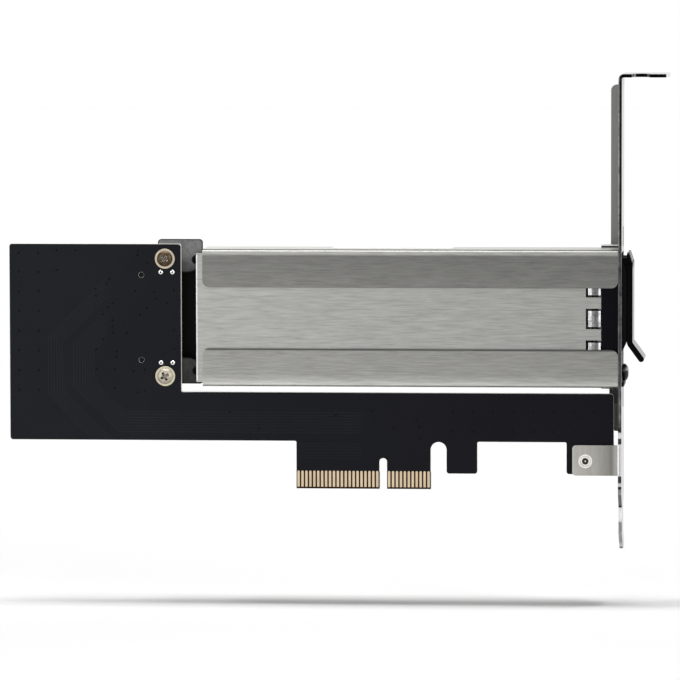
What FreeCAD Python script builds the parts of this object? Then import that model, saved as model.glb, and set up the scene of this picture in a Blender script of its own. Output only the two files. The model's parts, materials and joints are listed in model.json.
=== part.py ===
import FreeCAD, Part
import math
import os
from FreeCAD import Vector

# NVMe adapter card: an x4 expansion card with a steel cage and a removable drive tray.
# Millimetres. X runs along the card towards the slot bracket, Y from the solder side to
# the component side, Z up. The origin is on the edge connector: the middle of the key
# notch, the middle of the board's thickness and the lower end of the contacts.

# ---- Driving dimensions ----

# Slot bracket
bracket_inner_x = 59.37
bracket_sheet = 0.86
bracket_width = 18.42
bracket_length = 120.02
bracket_top_z = 104.9
bracket_bend = 0.5
top_tab_length = 11.6
top_tab_corner = 1.5
screw_notch_offset = 4.72
screw_notch_width = 4.42
screw_notch_depth = 6.0
flange_depth = 2.5
flange_bottom_z = 13.6
flange_top_z = 101.3
flange_corner = 1.5
tongue_width = 10.19
tongue_length = 10.9
tongue_taper = 3.2
tongue_corner = 1.2
tongue_offset = 0.3
tongue_bend_height = 4.0
board_tab_bottom_z = 3.78
board_tab_height = 7.66
board_tab_length = 11.5
board_tab_corner = 0.9
cage_ear_length = 4.6
cage_ear_width = 3.6
cage_ear_setback = 2.4

# Circuit board
board_thickness = 1.6
board_front_gap = 1.1
block_length = 43.8
block_top_z = 61.94
board_lower_z = 12.1
board_corner = 0.7
board_inner_corner = 0.4
strip_front_corner = 0.8
foot_length = 11.9
foot_bottom_z = 4.05

# Edge connector
contact_pitch = 1.0
contact_width = 0.7
contact_length = 4.07
contact_thickness = 0.05
contacts_before_key = 21
contacts_after_key = 11
key_to_contact = 1.5
key_width = 1.9
key_height = 7.83
edge_margin = 0.4
bevel_height = 0.5
bevel_depth = 0.3
hook_slot_width = 4.0
hook_slot_height = 12.0
retention_tab_width = 7.8
retention_tab_bottom_z = 4.0

# Cage
cage_length = 105.17
cage_height = 34.8
cage_depth = 14.66
cage_middle_z = 43.3
cage_sheet = 0.8
cage_bend = 0.4
cage_mouth_height = 15.5
lip_corner = 1.75
strip_gap = 1.5
rear_gap = 5.5

# Rear mounting ears and dock housing
ear_sheet = 0.8
ear_length = 11.4
ear_round = 4.0
ear_corner = 0.85
ear_front_reach = 5.4
upper_ear_bottom_z = 54.7
upper_ear_top_z = 63.1
lower_ear_bottom_z = 26.4
lower_ear_top_z = 33.0
ear_hole_radius = 1.0
ear_hole_inset = 1.6
upper_ear_hole_z = 57.9
lower_ear_hole_z = 29.7
dock_screw_wall = 2.6
dock_clearance = 0.3
dock_wall = 1.5
dock_roof = 1.2
dock_corner = 0.5

# Drive socket
socket_length = 7.6
socket_span = 23.2
socket_height = 4.2
socket_setback = 6.2
socket_slot_depth = 5.5
socket_slot_width = 1.0
socket_slot_span = 20.1
socket_slot_level = 2.05
socket_mouth_chamfer = 0.5
socket_key_width = 1.0
socket_key_offset = 6.1
socket_key_setback = 1.0
socket_pin_pitch = 0.5
socket_pin_width = 0.22
socket_pin_count = 34
socket_spring_length = 3.0
socket_spring_thickness = 0.12
peg_hole_radius = 0.7
peg_hole_spacing = 21.6
peg_hole_setback = 10.1
peg_clearance = 0.05
peg_recess = 0.15

# Screws
pan_rim = 0.45
pan_crown = 0.72
thread_clearance = 0.05
screw_hole_clearance = 0.1
board_screw_setback = 4.1
board_screw_spacing = 29.8
board_hole_middle_z = 43.3
board_screw_head_radius = 1.95
board_screw_head_height = 1.3
board_screw_radius = 1.2
board_screw_length = 6.0

# Foot screw
foot_screw_inset_x = 7.1
foot_screw_z = 7.46
foot_boss_radius = 1.75
foot_boss_height = 0.45
foot_thread_radius = 1.3
foot_screw_head_radius = 2.5
foot_screw_head_height = 1.8

# Parts on the component side
inductor_size = 7.0
inductor_height = 3.0
inductor_corner = 0.8
inductor_gap = 1.6
regulator_size = 4.0
regulator_height = 0.9
regulator_gap = 2.0
capacitor_length = 2.0
capacitor_width = 1.25
capacitor_height = 1.1
capacitor_end = 0.4
capacitor_gap = 2.2
capacitor_pitch = 3.2
line_capacitor_pitch = 2.6
line_capacitor_inset = 2.0
line_capacitor_rise = 3.0
light_pipe_length = 2.3
light_pipe_height = 3.6
light_pipe_depth = 3.0
light_pipe_rise = 1.1
light_pipe_bar_width = 1.8
light_pipe_bar_clearance = 0.05

# Blank label on the cage
label_length = 30.6
label_width = 8.6
label_rear_x = -13.3
label_thickness = 0.1

# Tray
tray_clearance = 0.25
tray_sheet = 0.8
tray_setback = 0.2
lid_thickness = 0.8
lid_overhang = 1.8
lid_corner = 0.4
bezel_inside = 4.2
hinge_notch_count = 3
hinge_pitch = 8.0
hinge_notch_height = 5.2
hinge_notch_depth = 3.85
knuckle_radius = 1.65
knuckle_height = 4.0
hinge_gap = 0.15
hinge_pin_radius = 0.7
hinge_pin_inset = 0.2
hinge_bore_clearance = 0.05
hinge_leaf_width = 7.0
drive_length = 80.0
drive_insertion = 4.0
drive_board = 0.8
drive_post_radius = 2.5
drive_thread_radius = 0.85
drive_thread_depth = 5.0
drive_screw_length = 3.0
drive_screw_head_radius = 2.2
drive_screw_head_height = 1.1
thermal_pad_margin = 2.0
thermal_pad_width = 21.0
thermal_pad_thickness = 1.0

# Bezel
bezel_wall = 1.5
bezel_corner = 0.3
bezel_bottom_lip = 0.7
bezel_lip_thickness = 0.6
bezel_lip_overlap = 0.15
bulge_bottom_z = 35.1
bulge_top_z = 57.9
bulge_depth = 1.17
bulge_round = 3.3
cam_recess = 1.6
bezel_screw_z = 29.4
bezel_screw_head_radius = 2.2
bezel_screw_head_height = 1.5
bezel_screw_radius = 1.2
bezel_screw_length = 6.0

# Lever
lever_thickness = 1.45
lever_gap = 0.12
lever_width = 12.8
lever_tip_z = 60.0
lever_tip_thickness = 0.6
lever_taper = 2.75
lever_elbow_z = 37.16
lever_flare_angle = 36.0
lever_flare_length = 5.62
lever_bend = 0.6
lever_corner = 0.4
lever_edge_round = 0.2
lever_brow_round = 1.0
pivot_z = 57.3
pivot_depth = 0.6
lug_radius = 0.9
lug_rise = 1.5
lug_round = 0.3
lug_width = 2.0
lug_spacing = 8.0
lug_clearance = 0.25
lever_pin_radius = 0.5
lever_pin_clearance = 0.06
lever_pin_inset = 0.5
lever_bore_clearance = 0.02
latch_z = 42.5
latch_height = 2.4
latch_width = 5.0
latch_reach = 1.5
latch_thickness = 1.0
latch_clearance = 0.6
latch_chamfer = 0.6
latch_nose = 0.7
latch_round = 0.2

# ---- Places worked out from the dimensions ----

solder_face = -board_thickness / 2
component_face = board_thickness / 2
bracket_outer_x = bracket_inner_x + bracket_sheet
near_face = solder_face - bracket_sheet
bracket_far = near_face + bracket_width

cage_front = bracket_inner_x
cage_rear = cage_front - cage_length
cage_bottom = cage_middle_z - cage_height / 2
cage_top = cage_middle_z + cage_height / 2
cage_far = near_face + cage_depth
inner_near = near_face + cage_sheet
inner_far = cage_far - cage_sheet
inner_bottom = cage_bottom + cage_sheet
inner_top = cage_top - cage_sheet
mouth_bottom = cage_middle_z - cage_mouth_height / 2
mouth_top = cage_middle_z + cage_mouth_height / 2

board_front = bracket_inner_x - board_front_gap
block_front = cage_rear - rear_gap
block_rear = block_front - block_length
strip_top = cage_bottom - strip_gap

board_screw_x = block_front - board_screw_setback
board_screw_levels = [board_hole_middle_z + side * board_screw_spacing / 2 for side in (1, -1)]
foot_screw_x = board_front - foot_screw_inset_x
peg_x = block_front - peg_hole_setback
peg_levels = [board_hole_middle_z + side * peg_hole_spacing / 2 for side in (1, -1)]

ear_near = component_face
ear_far = ear_near + ear_sheet
dock_front = cage_rear - dock_clearance
dock_rear = board_screw_x - dock_screw_wall
socket_front = block_front - socket_setback
socket_rear = socket_front - socket_length
drive_level = component_face + socket_slot_level

tray_near = inner_near + tray_clearance
tray_far = inner_far - tray_clearance
tray_bottom = inner_bottom + tray_clearance
tray_top = inner_top - tray_clearance
tray_middle_y = (tray_near + tray_far) / 2
tray_rear = cage_rear + tray_setback
lid_back = tray_near + lid_thickness
lid_rear = cage_rear - lid_overhang
bezel_back = bracket_inner_x - bezel_inside
hinge_x = bezel_back - hinge_gap - knuckle_radius
hinge_y = tray_near + knuckle_radius
lid_front = hinge_x + knuckle_radius
hinge_levels = [cage_middle_z + (i - (hinge_notch_count - 1) / 2) * hinge_pitch
                for i in range(hinge_notch_count)]
drive_end_x = socket_front - drive_insertion + drive_length

bulge_face = bracket_outer_x + bulge_depth
lever_inner = bulge_face + lever_gap
lever_outer = lever_inner + lever_thickness
pivot_x = lever_inner + pivot_depth
lug_places = [tray_middle_y + side * lug_spacing / 2 for side in (-1, 1)]


# ---- Shape helpers ----

def box(x_span, y_span, z_span):
    low = Vector(min(x_span), min(y_span), min(z_span))
    high = Vector(max(x_span), max(y_span), max(z_span))
    size = high - low
    return Part.makeBox(size.x, size.y, size.z, low)


def about(centre, width):
    return (centre - width / 2, centre + width / 2)


def rod(radius, start, end):
    return Part.makeCylinder(radius, (end - start).Length, start, end - start)


def outline(corners, place):
    """A face from (a, b, radius) corners, where place turns a and b into a point."""
    points = [place(a, b) for a, b, radius in corners]
    ends = []
    for i, (a, b, radius) in enumerate(corners):
        here = points[i]
        if not radius:
            ends.append((here, here, None))
            continue
        back = (points[i - 1] - here).normalize()
        ahead = (points[(i + 1) % len(points)] - here).normalize()
        half_turn = back.getAngle(ahead) / 2
        reach = radius / math.tan(half_turn)
        middle_way = (back + ahead).normalize()
        crown = here + middle_way * (radius / math.sin(half_turn) - radius)
        ends.append((here + back * reach, here + ahead * reach, crown))
    edges = []
    for i, (start, finish, crown) in enumerate(ends):
        if crown:
            edges.append(Part.Arc(start, crown, finish).toShape())
        following = ends[(i + 1) % len(ends)][0]
        if (following - finish).Length > 1e-5:
            edges.append(Part.LineSegment(finish, following).toShape())
    return Part.Face(Part.Wire(edges))


def prism_along_x(corners, x_span):
    face = outline(corners, lambda y, z: Vector(min(x_span), y, z))
    return face.extrude(Vector(max(x_span) - min(x_span), 0, 0))


def prism_along_y(corners, y_span):
    face = outline(corners, lambda x, z: Vector(x, min(y_span), z))
    return face.extrude(Vector(0, max(y_span) - min(y_span), 0))


def prism_along_z(corners, z_span):
    face = outline(corners, lambda x, y: Vector(x, y, min(z_span)))
    return face.extrude(Vector(0, 0, max(z_span) - min(z_span)))


def rectangle(a_span, b_span, radius=0):
    return [(min(a_span), min(b_span), radius), (max(a_span), min(b_span), radius),
            (max(a_span), max(b_span), radius), (min(a_span), max(b_span), radius)]


def round_corners(solid, axis, corners, radius):
    """Fillets the straight edges along axis that pass through the given corner places."""
    picked = []
    for edge in solid.Edges:
        start = edge.Vertexes[0].Point
        end = edge.Vertexes[-1].Point
        way = end - start
        if way.Length < 1e-6 or abs(abs(way.normalize().dot(axis)) - 1) > 1e-6:
            continue
        for corner in corners:
            offset = start - corner
            if (offset - axis * offset.dot(axis)).Length < 1e-3:
                picked.append(edge)
    return solid.makeFillet(radius, picked)


def aim(solid, point, direction):
    """Places a part that was made along +Z from the origin."""
    turned = solid.copy()
    turned.Placement = FreeCAD.Placement(point, FreeCAD.Rotation(Vector(0, 0, 1), direction))
    return turned


def pan_screw(head_radius, head_height, shank_radius, shank_length):
    """A pan-head screw, head up, seated at the origin."""
    rim = head_height * pan_rim
    half = [(0, -shank_length, 0), (shank_radius, -shank_length, 0), (shank_radius, 0, 0),
            (head_radius, 0, 0), (head_radius, rim, 0),
            (head_radius * pan_crown, head_height, 0), (0, head_height, 0)]
    face = outline(half, lambda x, z: Vector(x, 0, z))
    return face.revolve(Vector(0, 0, 0), Vector(0, 0, 1), 360)


def save(name, solids):
    shape = Part.makeCompound(solids) if isinstance(solids, list) else solids
    shape.exportStep("parts/" + name + ".step")
    print(name, "solids", len(shape.Solids), "valid", shape.isValid())


# ---- Circuit board ----

def edge_span():
    """The edge connector's ends along X."""
    rear = -key_to_contact - (contacts_before_key - 1) * contact_pitch - edge_margin
    front = key_to_contact + (contacts_after_key - 1) * contact_pitch + edge_margin
    return rear - contact_width / 2 + edge_margin / 2, front + contact_width / 2 - edge_margin / 2


def make_circuit_board():
    edge_rear, edge_front = edge_span()
    hook_front = edge_front + hook_slot_width
    tab_front = hook_front + retention_tab_width
    hook_round = hook_slot_width / 2
    foot_rear = board_front - foot_length
    corners = [
        (block_rear, block_top_z, board_corner),
        (block_front, block_top_z, board_corner),
        (block_front, strip_top, board_inner_corner),
        (board_front, strip_top, strip_front_corner),
        (board_front, foot_bottom_z, board_corner),
        (foot_rear, foot_bottom_z, board_corner),
        (foot_rear, board_lower_z, board_inner_corner),
        (tab_front, board_lower_z, board_inner_corner),
        (tab_front, retention_tab_bottom_z, board_corner),
        (hook_front, retention_tab_bottom_z, board_corner),
        (hook_front, hook_slot_height, hook_round),
        (edge_front, hook_slot_height, hook_round),
        (edge_front, 0, 0),
        (edge_rear, 0, 0),
        (edge_rear, board_lower_z, board_inner_corner),
        (block_rear, board_lower_z, board_corner),
    ]
    faces = (solder_face, component_face)
    board = prism_along_y(corners, faces)
    key_round = key_width / 2
    key = [(-key_round, -1, 0), (key_round, -1, 0),
           (key_round, key_height, key_round), (-key_round, key_height, key_round)]
    board = board.cut(prism_along_y(key, faces))
    for face, inward in ((solder_face, 1), (component_face, -1)):
        wedge = [(face, 0, 0), (face, bevel_height, 0), (face + inward * bevel_depth, 0, 0)]
        board = board.cut(prism_along_x(wedge, (edge_rear - 1, edge_front)))
    holes = [(board_screw_x, level, board_screw_radius + screw_hole_clearance)
             for level in board_screw_levels]
    holes.append((foot_screw_x, foot_screw_z, foot_thread_radius + screw_hole_clearance))
    holes += [(peg_x, level, peg_hole_radius) for level in peg_levels]
    for x, z, radius in holes:
        board = board.cut(rod(radius, Vector(x, solder_face, z), Vector(x, component_face, z)))
    return board


def make_edge_contacts():
    centres = [-key_to_contact - i * contact_pitch for i in range(contacts_before_key)]
    centres += [key_to_contact + i * contact_pitch for i in range(contacts_after_key)]
    contacts = []
    for x in centres:
        height = (bevel_height, bevel_height + contact_length)
        for face, side in ((solder_face, -1), (component_face, 1)):
            depth = (face, face + side * contact_thickness)
            contacts.append(box(about(x, contact_width), depth, height))
    return contacts


def make_board_screws():
    screw = pan_screw(board_screw_head_radius, board_screw_head_height,
                      board_screw_radius, board_screw_length)
    return [aim(screw, Vector(board_screw_x, solder_face, level), Vector(0, -1, 0))
            for level in board_screw_levels]


def make_components():
    """The voltage regulator with its coil and capacitors, on the component side."""
    coil_x = socket_rear - inductor_gap - inductor_size / 2
    coil = box(about(coil_x, inductor_size), (component_face, component_face + inductor_height),
               about(cage_middle_z, inductor_size))
    corners = [Vector(coil_x + a * inductor_size / 2, 0, cage_middle_z + b * inductor_size / 2)
               for a in (-1, 1) for b in (-1, 1)]
    coil = round_corners(coil, Vector(0, 1, 0), corners, inductor_corner)
    save("inductor", coil)

    chip_x = coil_x - inductor_size / 2 - regulator_gap - regulator_size / 2
    chip = box(about(chip_x, regulator_size), (component_face, component_face + regulator_height),
               about(cage_middle_z, regulator_size))
    save("regulator", chip)

    beside_coil = inductor_size / 2 + capacitor_gap
    beside_chip = regulator_size / 2 + capacitor_gap
    places = [(coil_x + (i - 1) * capacitor_pitch, cage_middle_z + side * beside_coil)
              for i in range(3) for side in (-1, 1)]
    places += [(chip_x, cage_middle_z + side * beside_chip) for side in (-1, 1)]
    places += [(-key_to_contact - line_capacitor_inset - i * line_capacitor_pitch,
                board_lower_z + line_capacitor_rise) for i in range(4)]
    bodies, ends = [], []
    for x, z in places:
        depth = (component_face, component_face + capacitor_height)
        length = capacitor_length / 2
        bodies.append(box(about(x, capacitor_width), depth,
                          about(z, capacitor_length - 2 * capacitor_end)))
        for side in (-1, 1):
            ends.append(box(about(x, capacitor_width), depth,
                            (z + side * length, z + side * (length - capacitor_end))))
    save("capacitor_bodies", bodies)
    save("capacitor_ends", ends)


def light_pipe_bar(clearance):
    """The square bar that carries the lamp's light through the bracket."""
    side = light_pipe_bar_width + 2 * clearance
    middle_z = strip_top + light_pipe_rise - light_pipe_height / 2
    middle_y = component_face + light_pipe_depth / 2
    return box((bracket_inner_x, bracket_outer_x), about(middle_y, side), about(middle_z, side))


def make_light_pipe():
    top = strip_top + light_pipe_rise
    body = box((bracket_inner_x - light_pipe_length, bracket_inner_x),
               (component_face, component_face + light_pipe_depth),
               (top - light_pipe_height, top))
    return body.fuse(light_pipe_bar(0)).removeSplitter()


# ---- Cage, ears and dock ----

def make_cage():
    outer = cage_bend + cage_sheet
    corners = [
        (near_face, mouth_top, 0), (near_face, cage_top, outer), (cage_far, cage_top, outer),
        (cage_far, cage_bottom, outer), (near_face, cage_bottom, outer),
        (near_face, mouth_bottom, 0), (inner_near, mouth_bottom, 0),
        (inner_near, inner_bottom, cage_bend), (inner_far, inner_bottom, cage_bend),
        (inner_far, inner_top, cage_bend), (inner_near, inner_top, cage_bend),
        (inner_near, mouth_top, 0),
    ]
    channel = prism_along_x(corners, (cage_rear, cage_front))
    lip_corners = [Vector(x, 0, z) for x in (cage_rear, cage_front)
                   for z in (mouth_bottom, mouth_top)]
    channel = round_corners(channel, Vector(0, 1, 0), lip_corners, lip_corner)
    tail_span = (cage_bottom + 2 * outer, cage_top - 2 * outer)
    tail = prism_along_y(rectangle((dock_rear, cage_rear + outer), tail_span, cage_bend),
                         (inner_far, cage_far))
    return channel.fuse(tail).removeSplitter()


def make_mounting_ears():
    """Two steel ears between the board and the dock housing."""
    ears = []
    rear = block_front + ear_front_reach - ear_length
    front = rear + ear_length
    upper_screw_z, lower_screw_z = board_screw_levels
    for inner_z, outer_z, screw_z, hole_z in (
            (upper_ear_bottom_z, upper_ear_top_z, upper_screw_z, upper_ear_hole_z),
            (lower_ear_top_z, lower_ear_bottom_z, lower_screw_z, lower_ear_hole_z)):
        corners = [(rear, inner_z, 0), (front, inner_z, ear_round),
                   (front, outer_z, ear_corner), (rear, outer_z, ear_corner)]
        ear = prism_along_y(corners, (ear_near, ear_far))
        for x, z, radius in ((board_screw_x, screw_z, board_screw_radius + thread_clearance),
                             (front - ear_hole_inset, hole_z, ear_hole_radius)):
            ear = ear.cut(rod(radius, Vector(x, ear_near, z), Vector(x, ear_far, z)))
        ears.append(ear)
    return ears


def make_dock_housing():
    """The moulded block that joins ears and cage and arches over the drive's end."""
    depth = (ear_far, inner_far)
    height = (inner_bottom + dock_clearance, inner_top - dock_clearance)
    dock = prism_along_y(rectangle((dock_rear, dock_front), height, dock_corner), depth)
    arch_top = component_face + socket_height + dock_clearance
    arch_span = about(cage_middle_z, socket_span + 2 * dock_clearance)
    dock = dock.cut(box((dock_rear - 1, dock_front + 1), (ear_far - 1, arch_top), arch_span))
    hollow = rectangle((dock_rear + dock_wall, dock_front + 2),
                       (height[0] + dock_wall, height[1] - dock_wall), dock_corner)
    hollow_depth = (arch_top + dock_roof, inner_far - dock_wall)
    dock = dock.cut(prism_along_y(hollow, hollow_depth))
    for level in board_screw_levels:
        bottom = Vector(board_screw_x, ear_far, level)
        tip = Vector(board_screw_x, solder_face + board_screw_length + dock_clearance, level)
        dock = dock.cut(rod(board_screw_radius + thread_clearance, bottom, tip))
    return dock


def make_socket():
    depth = (component_face, component_face + socket_height)
    body = box((socket_rear, socket_front), depth, about(cage_middle_z, socket_span))
    inside = socket_front - socket_slot_depth
    throat = socket_front - socket_mouth_chamfer
    low, high = about(drive_level, socket_slot_width)
    slot = prism_along_z([
        (inside, low, 0), (throat, low, 0), (socket_front, low - socket_mouth_chamfer, 0),
        (socket_front, high + socket_mouth_chamfer, 0), (throat, high, 0), (inside, high, 0),
    ], about(cage_middle_z, socket_slot_span))
    key = box((inside, socket_front - socket_key_setback), depth,
              about(cage_middle_z + socket_key_offset, socket_key_width))
    socket = body.cut(slot).fuse(key.common(body))
    for level in peg_levels:
        root = Vector(peg_x, component_face + socket_slot_level / 2, level)
        tip = Vector(peg_x, solder_face + peg_recess, level)
        socket = socket.fuse(rod(peg_hole_radius - peg_clearance, root, tip))
    return socket.removeSplitter()


def make_socket_contacts():
    """Spring contacts on one side of the socket's slot."""
    springs = []
    inside = socket_front - socket_slot_depth
    low = drive_level - socket_slot_width / 2
    for i in range(socket_pin_count):
        z = cage_middle_z + (i - (socket_pin_count - 1) / 2) * socket_pin_pitch
        if abs(z - cage_middle_z - socket_key_offset) < socket_key_width:
            continue
        springs.append(box((inside, inside + socket_spring_length),
                           (low, low + socket_spring_thickness), about(z, socket_pin_width)))
    return springs


# ---- Slot bracket ----

def make_bracket():
    inner, outer, sheet = bracket_inner_x, bracket_outer_x, bracket_sheet
    top, bottom = bracket_top_z, bracket_top_z - bracket_length
    width = (near_face, bracket_far)
    fold = bracket_bend + sheet
    bend_z = bottom + tongue_bend_height
    profile = [
        (inner, top, fold), (outer + top_tab_length, top, 0),
        (outer + top_tab_length, top - sheet, 0), (outer, top - sheet, bracket_bend),
        (outer, bend_z, 0), (outer + tongue_offset, bottom, 0),
        (inner + tongue_offset, bottom, 0), (inner, bend_z, 0),
    ]
    plate = prism_along_y(profile, width)
    tab_end = outer + top_tab_length
    plate = round_corners(plate, Vector(0, 0, 1),
                          [Vector(tab_end, near_face, 0), Vector(tab_end, bracket_far, 0)],
                          top_tab_corner)

    side = (bracket_width - tongue_width) / 2
    neck = bottom + tongue_length
    reach = (inner - 1, outer + 1)
    for edge, inward in ((near_face, 1), (bracket_far, -1)):
        shoulder = [(edge - inward, bottom - 1, 0), (edge + inward * side, bottom - 1, 0),
                    (edge + inward * side, neck, 0), (edge, neck + tongue_taper, 0),
                    (edge - inward, neck + tongue_taper, 0)]
        plate = plate.cut(prism_along_x(shoulder, reach))
    tongue_corners = [Vector(0, near_face + side, bottom), Vector(0, bracket_far - side, bottom)]
    plate = round_corners(plate, Vector(1, 0, 0), tongue_corners, tongue_corner)

    notch_x = about(outer + screw_notch_offset, screw_notch_width)
    notch_end = near_face + screw_notch_depth
    notch = [(notch_x[0], near_face - 1, 0), (notch_x[1], near_face - 1, 0),
             (notch_x[1], notch_end, screw_notch_width / 2),
             (notch_x[0], notch_end, screw_notch_width / 2)]
    plate = plate.cut(prism_along_z(notch, (top - sheet - 1, top + 1)))

    strip = 2 * fold
    folds = (
        (bracket_far, -1, flange_bottom_z, flange_top_z, inner - flange_depth, flange_corner),
        (near_face, 1, board_tab_bottom_z, board_tab_bottom_z + board_tab_height,
         inner - board_tab_length, board_tab_corner),
    )
    for edge, inward, low, high, end, corner in folds:
        plate = plate.cut(box((inner, outer), (edge, edge + inward * strip), (low, high)))
        bent = prism_along_z([
            (outer, edge + inward * strip, 0), (outer, edge, fold), (end, edge, 0),
            (end, edge + inward * sheet, 0), (inner, edge + inward * sheet, bracket_bend),
            (inner, edge + inward * strip, 0),
        ], (low, high))
        bent = round_corners(bent, Vector(0, 1, 0), [Vector(end, 0, low), Vector(end, 0, high)],
                             corner)
        plate = plate.fuse(bent)

    window = rectangle((inner_near, inner_far), (inner_bottom, inner_top), cage_bend)
    plate = plate.cut(prism_along_x(window, (inner, outer)))

    ear_far_y = cage_far - cage_ear_setback + cage_bend
    ear_width = (ear_far_y - cage_ear_width, ear_far_y)
    for face, away in ((cage_top, 1), (cage_bottom, -1)):
        lance = box((inner, outer), ear_width, (face, face + away * (sheet + cage_ear_length)))
        ear = prism_along_y([
            (inner - cage_ear_length, face, 0), (outer, face, 0),
            (outer, face + away * sheet, sheet * 0.9),
            (inner - cage_ear_length, face + away * sheet, 0),
        ], ear_width)
        plate = plate.cut(lance).fuse(ear)

    seat = Vector(foot_screw_x, near_face + sheet, foot_screw_z)
    mouth = Vector(foot_screw_x, near_face - foot_boss_height, foot_screw_z)
    boss = rod(foot_boss_radius, Vector(foot_screw_x, near_face, foot_screw_z), mouth)
    plate = plate.fuse(boss).cut(rod(foot_thread_radius, seat, mouth))
    plate = plate.cut(light_pipe_bar(light_pipe_bar_clearance))
    return plate.removeSplitter()


def make_foot_screw():
    reach = board_thickness + bracket_sheet + foot_boss_height
    screw = pan_screw(foot_screw_head_radius, foot_screw_head_height,
                      foot_thread_radius - thread_clearance, reach)
    return aim(screw, Vector(foot_screw_x, component_face, foot_screw_z), Vector(0, 1, 0))


def make_label():
    near = near_face + (cage_depth - label_width) / 2
    return box((label_rear_x, label_rear_x + label_length), (near, near + label_width),
               (cage_top, cage_top + label_thickness))


# ---- Tray ----

def make_tray_base():
    """Folded from one sheet: floor, two long walls and a front flange, open at the rear."""
    sheet = tray_sheet
    outer = cage_bend + sheet
    shell = prism_along_x([
        (lid_back, tray_bottom, 0), (tray_far, tray_bottom, outer),
        (tray_far, tray_top, outer), (lid_back, tray_top, 0),
        (lid_back, tray_top - sheet, 0), (tray_far - sheet, tray_top - sheet, cage_bend),
        (tray_far - sheet, tray_bottom + sheet, cage_bend), (lid_back, tray_bottom + sheet, 0),
    ], (tray_rear, bezel_back))
    flange_near = hinge_y + knuckle_radius + tray_clearance
    flange_height = (tray_bottom + sheet, tray_top - sheet)
    flange = box((bezel_back - sheet, bezel_back), (flange_near, tray_far - sheet), flange_height)
    shell = shell.fuse(flange)
    clear_x = hinge_x - knuckle_radius - hinge_gap
    shell = shell.cut(box((clear_x, bezel_back), (lid_back - 1, flange_near),
                          (tray_bottom - 1, tray_top + 1)))
    shell = shell.cut(rod(bezel_screw_radius + thread_clearance,
                          Vector(bezel_back - sheet, tray_middle_y, bezel_screw_z),
                          Vector(bezel_back, tray_middle_y, bezel_screw_z)))
    return shell.removeSplitter()


def make_tray_lid():
    """Cover plate with rolled hinge fingers at its front edge."""
    height = (tray_bottom, tray_top)
    plate = prism_along_y(rectangle((lid_rear, lid_front), height), (tray_near, lid_back))
    plate = round_corners(plate, Vector(0, 1, 0),
                          [Vector(lid_rear, 0, z) for z in height], lid_corner)
    roll = rod(knuckle_radius, Vector(hinge_x, hinge_y, tray_bottom),
               Vector(hinge_x, hinge_y, tray_top))
    lid = plate.fuse(roll)
    for level in hinge_levels:
        notch = box((lid_front - hinge_notch_depth, lid_front + 1),
                    (tray_near - 1, hinge_y + knuckle_radius + 1),
                    about(level, hinge_notch_height))
        lid = lid.cut(notch)
    bore = rod(hinge_pin_radius + hinge_bore_clearance, Vector(hinge_x, hinge_y, tray_bottom),
               Vector(hinge_x, hinge_y, tray_top))
    return lid.cut(bore).removeSplitter()


def make_hinge_leaf():
    """Steel leaf on the tray's front flange, with one knuckle in each notch of the lid."""
    leaf_x = (bezel_back - 2 * tray_sheet, bezel_back - tray_sheet)
    flange_near = hinge_y + knuckle_radius + tray_clearance
    ends = (hinge_levels[0] - knuckle_height / 2, hinge_levels[-1] + knuckle_height / 2)
    leaf = box(leaf_x, (flange_near, flange_near + hinge_leaf_width), ends)
    for level in hinge_levels:
        span = about(level, knuckle_height)
        leaf = leaf.fuse(box(leaf_x, (hinge_y, flange_near), span))
        leaf = leaf.fuse(rod(knuckle_radius, Vector(hinge_x, hinge_y, span[0]),
                             Vector(hinge_x, hinge_y, span[1])))
    bore = rod(hinge_pin_radius + hinge_bore_clearance, Vector(hinge_x, hinge_y, tray_bottom),
               Vector(hinge_x, hinge_y, tray_top))
    return leaf.cut(bore).removeSplitter()


def make_hinge_pin():
    return rod(hinge_pin_radius, Vector(hinge_x, hinge_y, tray_bottom + hinge_pin_inset),
               Vector(hinge_x, hinge_y, tray_top - hinge_pin_inset))


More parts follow.
